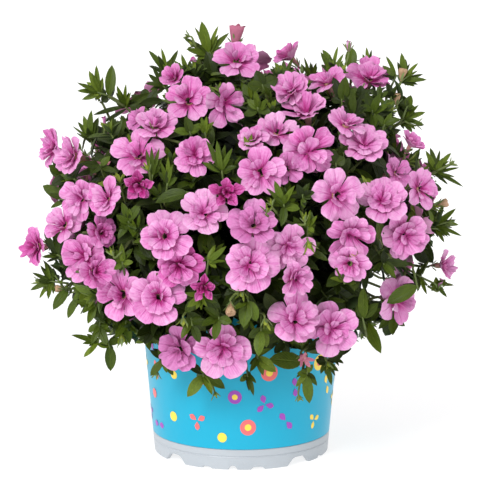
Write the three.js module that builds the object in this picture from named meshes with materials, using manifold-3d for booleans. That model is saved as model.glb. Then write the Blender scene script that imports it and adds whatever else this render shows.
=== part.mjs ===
// A potted double calibrachoa: a thin-walled pot on four feet with a printed sleeve, potting soil,
// one branching plant body, leafy shoots and double blooms spread over a wide dome of foliage.
// Millimetres, +Z up. The origin is the middle of the circle that the pot's feet stand on, and
// the front of the plant faces -Y.

import * as THREE from 'three';
import * as BufferGeometryUtils from 'three/addons/utils/BufferGeometryUtils.js';
import Module from 'manifold-3d';

const wasm = await Module();
wasm.setup();

// ---- driving dimensions -------------------------------------------------------------------

const GAP = 0.3; // clearance between pieces that rest on each other

const FOOT_RADIUS = 55.2; // outside of the feet at the ground
const TAPER = 0.0876; // growth of the outside radius per millimetre of height
const POT_HEIGHT = 104;
const POT_WALL = 1.5;
const RIM_HEIGHT = 6;
const RIM_PROUD = 1.6; // how far the rim stands out past the sleeve
const FLOOR_UNDERSIDE = 7;
const FLOOR_THICKNESS = 1.6;
const BAND_SEAM = 8.7; // height of the fine groove in the band under the sleeve
const SKIRT_WALL = 2.8;
const FEET = 4;
const FIRST_GAP = 41.25; // azimuth of the first gap between two feet
const GAP_BETWEEN_FEET = [18.4, 8.8, 5]; // width at the ground, width at the top, height
const SLEEVE_BOTTOM = 12.9;
const SLEEVE_THICKNESS = 0.4;
const SOIL_TOP = 94;
const AROUND_POT = 40; // facets around the pot, sleeve and soil

const DOME_CENTRE = new THREE.Vector3(0, 0, 150);
const DOME_REACH = 128; // from the axis to the faces of the widest blooms
const DOME_RISE = 104; // from the dome's centre up to the faces of the top blooms

const STEM_END_RADIUS = 0.9;
const STEM_MAIN_RADIUS = 1.8;
const CROWN_RADIUS = 6;

const TUBE_SHARE = 1.05; // length of a bloom's tube for each millimetre of its radius
const SHOOT_LENGTH = 27;
const LEAF_LENGTH = 19;
const LEAF_WIDTH = 7;
const LEAF_THICKNESS = 1;

// Notches in the feet: azimuth, width at the ground, width at the top, height.
const NOTCHES = [
  [-22.7, 6.4, 3.6, 1.2],
  [-5.3, 5.8, 2.6, 2.4],
  [11, 9, 5.6, 1.6],
  [64, 7, 4, 1.4],
];

// Blooms on the front: azimuth from the front towards +X and height angle from the dome's
// centre, diameter, then the azimuth and the height angle that the bloom faces. A last number
// is the bloom's place as a share of the way out to the dome, where that isn't 1.
const FRONT_BLOOMS = [
  [3, -4, 34, 0, 10],
  [22, 33, 34, 10, 15],
  [30, -30, 33, 10, 10],
  [-6, -39, 34, 0, -4],
  [-24, -17, 34, -5, 10],
  [-34, 31, 32, -10, 35],
  [6, 26, 30, 0, 13],
  [98, 53, 30, 14, 51, 1.06],
  [-6, 79, 29, 0, 42],
  [-24, 53, 30, -7, 34],
  [50, 1, 31, 16, 0],
  [-83, -9, 25, -50, 5, 1.03],
  [82, -15, 19, 58, 8, 1.04],
  [-90, 24, 25, -58, 20, 1.02],
  [-58, 4, 26, -35, 30],
  [-20, 5, 31, -5, 22],
  [31, 3, 31, 10, -12],
  [-47, -6, 31, -26, 5, 1.01],
  [55, -23, 31, 44, 0],
  [56, 61, 26, -50, 62],
  [44, 34, 30, 15, 45],
  [-14, 31, 27, 0, 20],
  [116, 75, 21, -69, 50],
  [61, 15, 26, 45, 18, 1.02],
  [26, 58, 26, -30, 38],
  [-65, 26, 28, -55, 14],
  [-45, 63, 17, -35, 36],
  [71, 30, 17, 60, 56],
];

// Rings of blooms on the back: height angle, number of blooms, first and last azimuth.
const BACK_RINGS = [
  [-22, 4, 118, 242],
  [9, 4, 112, 248],
  [38, 3, 138, 222],
  [64, 1, 176, 176],
];
const BACK_BLOOM_DIAMETER = 32;

// Leafy shoots: azimuth and height angle of the foot of the shoot, its place as a share of the
// way out to the dome, then the height angle of the direction that it grows in.
const SHOOTS = [
  [-120, 79, 0.9, 78],
  [-96, 64, 0.81, 66],
  [-93, 45, 0.98, 58],
  [120, 52, 0.94, 72],
  [93, 41, 1.0, 45],
  [88, 10, 0.845, 20],
  [86, -4, 0.845, 0],
  [-88, 10, 0.85, 16],
  [-80, -20, 0.88, -14],
  [-65, -42, 0.9, -56],
  [-24, -46, 0.93, -66],
  [28, -46, 0.93, -62],
  [66, -41, 0.9, -50],
  [180, 14, 0.84, 14],
  [150, -6, 0.84, 4],
  [212, -8, 0.84, 2],
];

// Forks where the branches part: radius from the axis, height, number around, first azimuth.
const FORK_RINGS = [
  [68, 124, 7, 0],
  [58, 154, 6, 28],
  [34, 186, 4, 40],
];

// ---- helpers --------------------------------------------------------------------------------

const degrees = THREE.MathUtils.degToRad;

function direction(azimuth, height) {
  const a = degrees(azimuth);
  const h = degrees(height);
  return new THREE.Vector3(
    Math.sin(a) * Math.cos(h),
    -Math.cos(a) * Math.cos(h),
    Math.sin(h)
  );
}

function domePoint(azimuth, height, share = 1) {
  const reach = new THREE.Vector3(DOME_REACH, DOME_REACH, DOME_RISE).multiplyScalar(share);
  return direction(azimuth, height).multiply(reach).add(DOME_CENTRE);
}

function outerRadius(height) {
  return FOOT_RADIUS + TAPER * height;
}

function toSolid(geometry) {
  const bare = geometry.clone();
  bare.deleteAttribute('normal');
  bare.deleteAttribute('uv');
  const merged = BufferGeometryUtils.mergeVertices(bare, 1e-4);
  const mesh = new wasm.Mesh({
    numProp: 3,
    vertProperties: new Float32Array(merged.attributes.position.array),
    triVerts: new Uint32Array(merged.index.array),
  });
  return new wasm.Manifold(mesh);
}

function toGeometry(solid) {
  const mesh = solid.getMesh();
  const geometry = new THREE.BufferGeometry();
  geometry.setAttribute('position', new THREE.BufferAttribute(mesh.vertProperties, 3));
  geometry.setIndex(new THREE.BufferAttribute(mesh.triVerts, 1));
  geometry.computeVertexNormals();
  return geometry;
}

function joined(geometries) {
  return geometries.map(toSolid).reduce((whole, part) => whole.add(part));
}

// A solid of revolution about +Z from [radius, height] points.
function turned(points, facets) {
  const profile = points.map(([radius, height]) => new THREE.Vector2(radius, height));
  return new THREE.LatheGeometry(profile, facets).rotateX(Math.PI / 2);
}

// A round stem through the given points.
function stem(points, radius, sides, steps) {
  const section = new THREE.Shape();
  for (let i = 0; i < sides; i += 1) {
    const angle = (2 * Math.PI * i) / sides;
    section.lineTo(radius * Math.cos(angle), radius * Math.sin(angle));
  }
  section.curves.shift();
  const path = new THREE.CatmullRomCurve3(points);
  return new THREE.ExtrudeGeometry(section, { steps, extrudePath: path });
}

// ---- pot, sleeve and soil -------------------------------------------------------------------

const underSleeve = SLEEVE_THICKNESS + GAP;

function potGeometry() {
  const rimBottom = POT_HEIGHT - RIM_HEIGHT;
  const rimRadius = outerRadius(POT_HEIGHT) + RIM_PROUD;
  const inside = underSleeve + POT_WALL;
  const floorTop = FLOOR_UNDERSIDE + FLOOR_THICKNESS;
  const body = toSolid(turned([
    [0, FLOOR_UNDERSIDE],
    [outerRadius(FLOOR_UNDERSIDE) - SKIRT_WALL, FLOOR_UNDERSIDE],
    [FOOT_RADIUS - SKIRT_WALL, 0],
    [FOOT_RADIUS, 0],
    [outerRadius(BAND_SEAM), BAND_SEAM],
    [outerRadius(BAND_SEAM) - 0.4, BAND_SEAM + 0.3],
    [outerRadius(SLEEVE_BOTTOM), SLEEVE_BOTTOM],
    [outerRadius(SLEEVE_BOTTOM) - underSleeve, SLEEVE_BOTTOM],
    [outerRadius(rimBottom) - underSleeve, rimBottom],
    [rimRadius, rimBottom],
    [rimRadius, POT_HEIGHT],
    [outerRadius(POT_HEIGHT) - inside, POT_HEIGHT],
    [outerRadius(floorTop) - inside, floorTop],
    [0, floorTop],
  ], AROUND_POT));
  const cuts = [];
  for (let i = 0; i < FEET; i += 1) {
    cuts.push(openingInSkirt(FIRST_GAP + (360 / FEET) * i, ...GAP_BETWEEN_FEET));
  }
  for (const notch of NOTCHES) {
    cuts.push(openingInSkirt(...notch));
  }
  for (let i = 0; i < 8; i += 1) {
    cuts.push(drainHole(360 / 8 * (i + 0.5)));
  }
  return toGeometry(cuts.reduce((whole, cut) => whole.subtract(cut), body));
}

// A gap between two feet, or a notch in one: its sides lean in and its upper corners are round.
function openingInSkirt(azimuth, low, high, height) {
  const shape = new THREE.Shape();
  const lean = (low - high) / 2 / height;
  const shoulder = height * 0.65;
  const atShoulder = low / 2 - lean * shoulder;
  shape.moveTo(-low / 2 - lean, -1);
  shape.lineTo(low / 2 + lean, -1);
  shape.lineTo(atShoulder, shoulder);
  shape.quadraticCurveTo(high / 2, height, high / 4, height);
  shape.lineTo(-high / 4, height);
  shape.quadraticCurveTo(-high / 2, height, -atShoulder, shoulder);
  shape.closePath();
  const depth = 12;
  const opening = new THREE.ExtrudeGeometry(shape, { depth, curveSegments: 2, bevelEnabled: false });
  opening.rotateX(Math.PI / 2);
  opening.translate(0, depth / 2 - FOOT_RADIUS, 0);
  opening.rotateZ(degrees(azimuth));
  return toSolid(opening);
}

function drainHole(azimuth) {
  const hole = new THREE.CylinderGeometry(4, 4, 6, 8).rotateX(Math.PI / 2);
  hole.translate(0, -40, FLOOR_UNDERSIDE + FLOOR_THICKNESS / 2);
  hole.rotateZ(degrees(azimuth));
  return toSolid(hole);
}

function sleeveGeometry() {
  const bottom = SLEEVE_BOTTOM + GAP;
  const top = POT_HEIGHT - RIM_HEIGHT - GAP;
  return turned([
    [outerRadius(bottom) - SLEEVE_THICKNESS, bottom],
    [outerRadius(bottom), bottom],
    [outerRadius(top), top],
    [outerRadius(top) - SLEEVE_THICKNESS, top],
    [outerRadius(bottom) - SLEEVE_THICKNESS, bottom],
  ], AROUND_POT);
}

function soilGeometry() {
  const inset = underSleeve + POT_WALL + GAP;
  const bottom = FLOOR_UNDERSIDE + FLOOR_THICKNESS + GAP;
  const edge = SOIL_TOP - 2;
  return turned([
    [0, bottom],
    [outerRadius(bottom) - inset, bottom],
    [outerRadius(edge) - inset, edge],
    [outerRadius(edge) - inset - 14, SOIL_TOP],
    [0, SOIL_TOP],
  ], AROUND_POT);
}

// ---- blooms ---------------------------------------------------------------------------------

// A double bloom that faces +Z: its tube ends in the calyx at -Z, and the middle of its outer
// corolla lies at the origin. Every second facet is drawn in, which parts the five lobes.
function bloomGeometry(diameter) {
  const radius = diameter / 2;
  const tube = radius * TUBE_SHARE;
  const lobes = 5;
  const geometry = turned([
    [0, -tube],
    [radius * 0.11, -tube],
    [radius * 0.17, -tube * 0.45],
    [radius, 0],
    [radius * 0.55, radius * 0.2],
    [0, -radius * 0.2],
  ], 2 * lobes);
  const position = geometry.attributes.position;
  for (let i = 0; i < position.count; i += 1) {
    const reach = Math.hypot(position.getX(i), position.getY(i));
    const angle = Math.atan2(position.getY(i), position.getX(i));
    if (reach > radius * 0.3) {
      const drawnIn = 1 - 0.08 * (1 - Math.cos(lobes * angle));
      position.setXY(i, position.getX(i) * drawnIn, position.getY(i) * drawnIn);
    }
  }
  return geometry;
}

function bloom([azimuth, height, diameter, faceAzimuth, faceHeight, share = 1]) {
  const centre = domePoint(azimuth, height, share);
  const facing = direction(faceAzimuth, faceHeight);
  const tube = (diameter / 2) * TUBE_SHARE;
  const foot = centre.clone().addScaledVector(facing, -tube);
  return { centre, facing, diameter, foot };
}

const blooms = FRONT_BLOOMS.map(bloom);
for (const [height, count, first, last] of BACK_RINGS) {
  for (let i = 0; i < count; i += 1) {
    const azimuth = first + ((last - first) * i) / Math.max(1, count - 1);
    blooms.push(bloom([azimuth, height, BACK_BLOOM_DIAMETER, azimuth, height * 0.8 + 8]));
  }
}

// ---- leafy shoots ---------------------------------------------------------------------------

// A shoot that grows along +Z from the origin: a stem with leaves in pairs that turn by a
// quarter from one pair to the next, and stand closer to the stem near the tip.
function shootGeometry() {
  const parts = [];
  const tip = new THREE.Vector3(0, 0, SHOOT_LENGTH * 0.75);
  parts.push(stem([new THREE.Vector3(), tip], STEM_END_RADIUS, 5, 1));
  const pairs = 4;
  for (let pair = 0; pair < pairs; pair += 1) {
    const share = pair / (pairs - 1);
    const length = LEAF_LENGTH * (1 - 0.35 * share);
    const spread = degrees(68 - 50 * share);
    for (let side = 0; side < 2; side += 1) {
      const leaf = new THREE.SphereGeometry(1, 6, 2).rotateX(Math.PI / 2);
      leaf.scale(length / 2, LEAF_WIDTH / 2, LEAF_THICKNESS / 2);
      leaf.translate(length / 2, 0, 0);
      leaf.rotateY(spread - Math.PI / 2);
      leaf.translate(0, 0, SHOOT_LENGTH * (0.2 + 0.5 * share));
      leaf.rotateZ(degrees(90 * pair + 180 * side));
      parts.push(leaf);
    }
  }
  return toGeometry(joined(parts));
}

const shoots = SHOOTS.map(([azimuth, height, share, growth]) => ({
  foot: domePoint(azimuth, height, share),
  facing: direction(azimuth, growth),
}));

// ---- branches -------------------------------------------------------------------------------

const crown = new THREE.Vector3(0, 0, SOIL_TOP + GAP);

function forks() {
  const points = [];
  for (const [radius, height, count, first] of FORK_RINGS) {
    for (let i = 0; i < count; i += 1) {
      const azimuth = first + (360 * i) / count;
      points.push(direction(azimuth, 0).multiplyScalar(radius).setZ(height));
    }
  }
  return points;
}

// The stem from the crown to a fork rises first and then leans outwards.
function mainStem(fork) {
  const start = crown.clone().add(new THREE.Vector3(fork.x * 0.04, fork.y * 0.04, 5));
  const bend = new THREE.Vector3(fork.x * 0.45, fork.y * 0.45, start.z + (fork.z - start.z) * 0.6);
  return stem([start, bend, fork], STEM_MAIN_RADIUS, 5, 3);
}

function knuckle(point) {
  return new THREE.OctahedronGeometry(STEM_MAIN_RADIUS * 1.5, 0).translate(...point);
}

// A twig from the nearest fork that comes up behind a bloom or a shoot and ends short of it.
function twig(fork, end) {
  const last = end.foot.clone().addScaledVector(end.facing, -GAP);
  const before = last.clone().addScaledVector(end.facing, -6);
  return stem([fork, before, last], STEM_END_RADIUS, 4, 3);
}

function nearest(points, target) {
  return points.reduce((best, point) =>
    point.distanceTo(target) < best.distanceTo(target) ? point : best);
}

function branchesGeometry() {
  const forkPoints = forks();
  const parts = [
    new THREE.CylinderGeometry(CROWN_RADIUS * 0.7, CROWN_RADIUS, 9, 10)
      .rotateX(Math.PI / 2)
      .translate(0, 0, crown.z + 4.5),
  ];
  for (const fork of forkPoints) {
    parts.push(mainStem(fork));
    parts.push(knuckle(fork));
  }
  for (const end of [...blooms, ...shoots]) {
    parts.push(twig(nearest(forkPoints, end.foot), end));
  }
  return toGeometry(joined(parts));
}

// ---- assembly -------------------------------------------------------------------------------

const plastic = new THREE.MeshStandardMaterial({ color: 0xd5dae2, roughness: 0.45, metalness: 0 });
const print = new THREE.MeshStandardMaterial({ color: 0x3dbce0, roughness: 0.4, metalness: 0 });
const peat = new THREE.MeshStandardMaterial({ color: 0x2c1f15, roughness: 0.95, metalness: 0 });
const bark = new THREE.MeshStandardMaterial({ color: 0x5f7a34, roughness: 0.7, metalness: 0 });
const leafGreen = new THREE.MeshStandardMaterial({ color: 0x4b6b2a, roughness: 0.6, metalness: 0 });
const petal = new THREE.MeshStandardMaterial({ color: 0xe07fc8, roughness: 0.65, metalness: 0 });

const plant = new THREE.Group();

function addPiece(name, geometry, material) {
  const mesh = new THREE.Mesh(geometry, material);
  mesh.name = name;
  plant.add(mesh);
  return mesh;
}

function place(mesh, point, facing) {
  mesh.position.copy(point);
  mesh.quaternion.setFromUnitVectors(new THREE.Vector3(0, 0, 1), facing);
}

function numbered(name, index) {
  return `${name}_${String(index + 1).padStart(2, '0')}`;
}

addPiece('grower_pot', potGeometry(), plastic);
addPiece('pot_sleeve', sleeveGeometry(), print);
addPiece('potting_soil', soilGeometry(), peat);
addPiece('branching_stems', branchesGeometry(), bark);
shoots.forEach((shoot, i) => {
  place(addPiece(numbered('leafy_shoot', i), shootGeometry(), leafGreen), shoot.foot, shoot.facing);
});
blooms.forEach((item, i) => {
  const mesh = addPiece(numbered('bloom', i), bloomGeometry(item.diameter), petal);
  place(mesh, item.centre, item.facing);
});

export default plant;
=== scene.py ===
"""A potted double calibrachoa: a footed nursery pot in a printed sleeve, potting soil, branching
stems, leafy shoots and pink double blooms over a wide dome of foliage.

Lengths are in millimetres until a mesh is made. The front of the plant faces -Y.
"""

import math
import random
from dataclasses import dataclass
from functools import lru_cache

import bpy
import numpy as np
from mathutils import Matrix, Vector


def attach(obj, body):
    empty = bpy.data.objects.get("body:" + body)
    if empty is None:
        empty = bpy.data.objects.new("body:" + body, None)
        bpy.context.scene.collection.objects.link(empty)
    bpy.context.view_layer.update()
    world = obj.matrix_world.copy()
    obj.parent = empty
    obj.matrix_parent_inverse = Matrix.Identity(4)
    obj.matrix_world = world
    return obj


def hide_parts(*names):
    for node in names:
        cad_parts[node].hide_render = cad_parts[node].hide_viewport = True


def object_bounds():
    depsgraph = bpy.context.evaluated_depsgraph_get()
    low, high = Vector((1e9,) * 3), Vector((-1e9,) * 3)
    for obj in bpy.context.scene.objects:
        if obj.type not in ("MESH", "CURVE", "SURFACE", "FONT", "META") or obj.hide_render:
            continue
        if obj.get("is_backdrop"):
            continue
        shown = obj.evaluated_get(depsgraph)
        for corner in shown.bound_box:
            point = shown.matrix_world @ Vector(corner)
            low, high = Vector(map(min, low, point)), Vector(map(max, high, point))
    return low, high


MILLIMETRE = 0.001

# ---- the plant's measures, as in the frame ----

FOOT_RADIUS = 55.2
TAPER = 0.0876
POT_HEIGHT = 104
POT_WALL = 1.5
RIM_HEIGHT = 6
RIM_PROUD = 1.6
FLOOR_UNDERSIDE = 7
FLOOR_TOP = 8.6
SKIRT_WALL = 2.8
SLEEVE_BOTTOM = 13.2
SLEEVE_TOP = 97.7
SLEEVE_THICKNESS = 0.4
UNDER_SLEEVE = 0.7
SOIL_EDGE = 92
SOIL_TOP = 94
CROWN = np.array((0.0, 0.0, SOIL_TOP + 0.3))

DOME_CENTRE = np.array((0.0, 0.0, 150.0))
DOME_REACH = np.array((128.0, 128.0, 104.0))
UP = np.array((0.0, 0.0, 1.0))

# Where the viewer stands for the plant's front, which no leaf between the blooms should hide.
VIEWPOINT = np.array((2.4, -1574.2, 417.5))
VIEW_PITCH = 10.3
LENS = 186.39

# How far in front of the pot's axis the foliage comes.
NEAREST_FOLIAGE = 120

# Blooms with a piece of their own: azimuth from the front towards +X, height angle from the
# dome's centre, diameter, azimuth and height angle that the bloom faces, colour, habit, the
# way that one lobe points, clockwise from the top, and how far out it sits if not on the dome.
FRONT_BLOOMS = [
    (3, -4, 34, 0, 10, "pale", "full", 12),
    (22, 33, 34, 10, 15, "pale", "tumbled", -20),
    (30, -30, 33, 10, 10, "pale", "full", -12),
    (-6, -39, 34, 0, -4, "pale", "full", 0),
    (-24, -17, 34, -5, 10, "pale", "cup", 5),
    (-34, 31, 32, -10, 35, "pale", "open", 0),
    (6, 26, 30, 0, 13, "pale", "open", -4),
    (98, 53, 30, 14, 51, "pale", "tumbled", 10, 1.06),
    (-6, 79, 29, 0, 42, "pale", "open", -10),
    (-24, 53, 30, -7, 34, "pale", "open", 3),
    (50, 1, 31, 16, 0, "pale", "full", -24),
    (-83, -9, 25, -50, 5, "deep", "tumbled", 0, 1.03),
    (82, -15, 19, 58, 8, "pale", "funnel", 0, 1.04),
    (-90, 24, 25, -58, 20, "pale", "tumbled", 20, 1.02),
    (-58, 4, 26, -35, 30, "pale", "open", 10),
    (-20, 5, 31, -5, 22, "pale", "cup", -24),
    (31, 3, 31, 10, -12, "pale", "tumbled", 15),
    (-47, -6, 31, -26, 5, "pale", "full", 0, 1.01),
    (55, -23, 31, 44, 0, "pale", "open", 30),
    (56, 61, 26, -50, 62, "pale", "open", 0),
    (44, 34, 30, 15, 45, "pale", "full", 10),
    (-14, 31, 27, 0, 20, "pale", "tumbled", 20),
    (116, 75, 21, -69, 50, "deep", "funnel", 0),
    (61, 15, 26, 45, 18, "pale", "open", 25, 1.02),
    (26, 58, 26, -30, 38, "pale", "tumbled", 0),
    (-65, 26, 28, -55, 14, "pale", "tumbled", 30),
    (-45, 63, 17, -35, 36, "deep", "funnel", 0),
    (71, 30, 17, 60, 56, "deep", "funnel", 0),
]

# Rings of blooms on the back: height angle, number of blooms, first and last azimuth.
BACK_RINGS = [(-22, 4, 118, 242), (9, 4, 112, 248), (38, 3, 138, 222), (64, 1, 176, 176)]
BACK_BLOOM_DIAMETER = 32
BACK_KINDS = [
    ("pale", "full"), ("pale", "open"), ("pale", "tumbled"), ("pale", "cup"), ("pale", "full"),
    ("pale", "tumbled"), ("pale", "open"), ("deep", "full"), ("fading", "tumbled"),
    ("young", "star"),
]

# Blooms that grow between those, in the same terms.
BLOOMS_BETWEEN = [
    (-10, 13, 28, 0, 31, "pale", "full", 13),
    (43, 14, 31, 0, 31, "pale", "full", -7),
    (27, 49, 31, -26, 63, "pale", "tumbled", 0),
    (16, -24, 32, 12, 22, "pale", "tumbled", 10),
    (-22, -39, 29, -21, -8, "fading", "tumbled", 0),
    (-36, -17, 33, -24, 9, "pale", "open", -14),
    (28, 17, 32, 21, 10, "pale", "open", -5),
    (-32, 42, 26, 0, 51, "pale", "full", 0),
    (13, 1, 29, 12, -7, "pale", "full", 10),
    (-6, 51, 28, 27, -2, "pale", "tumbled", 0),
    (-16, -5, 29, 0, -10, "deep", "full", 10),
    (-30, 20, 22, 0, -1, "young", "star", 0),
    (-51, 13, 26, -30, -3, "pale", "full", 20),
    (4, 38, 20, -23, 40, "pale", "full", 0),
    (13, 41, 27, 9, 51, "pale", "open", 0),
    (42, 42, 25, 39, 62, "pale", "open", 0),
    (-42, 43, 17, -54, 30, "fading", "open", 0),
    (14, 27, 21, 12, 22, "fading", "open", 0),
    (-41, 15, 25, -42, 13, "pale", "full", 0),
    (-40, 4, 21, 31, 15, "deep", "cup", 0),
    (-43, -10, 23, 30, 9, "deep", "tumbled", 0),
    (-4, 19, 21, 0, 16, "young", "star", 0),
    (3, 10, 30, 0, 40, "fading", "cup", 0),
    (-10, -12, 17, 0, 5, "young", "star", 0),
    (15, -9, 24, 30, 9, "pale", "tumbled", 0),
    (30, -6, 25, -19, -20, "pale", "cup", 0),
    (53, 22, 20, 40, 25, "fading", "open", 0),
]

# Leafy shoots with a piece of their own: azimuth, height angle and share of the way out to the
# dome of the foot, then the height angle that the shoot grows in.
SHOOTS = [
    (-120, 79, 0.9, 78), (-96, 64, 0.81, 66), (-93, 45, 0.98, 58), (120, 52, 0.94, 72),
    (93, 41, 1.0, 45), (88, 10, 0.845, 20), (86, -4, 0.845, 0), (-88, 10, 0.85, 16),
    (-80, -20, 0.88, -14), (-65, -42, 0.9, -56), (-24, -46, 0.93, -66), (28, -46, 0.93, -62),
    (66, -41, 0.9, -50), (180, 14, 0.84, 14), (150, -6, 0.84, 4), (212, -8, 0.84, 2),
]
SHOOT_LENGTH = 27

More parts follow.
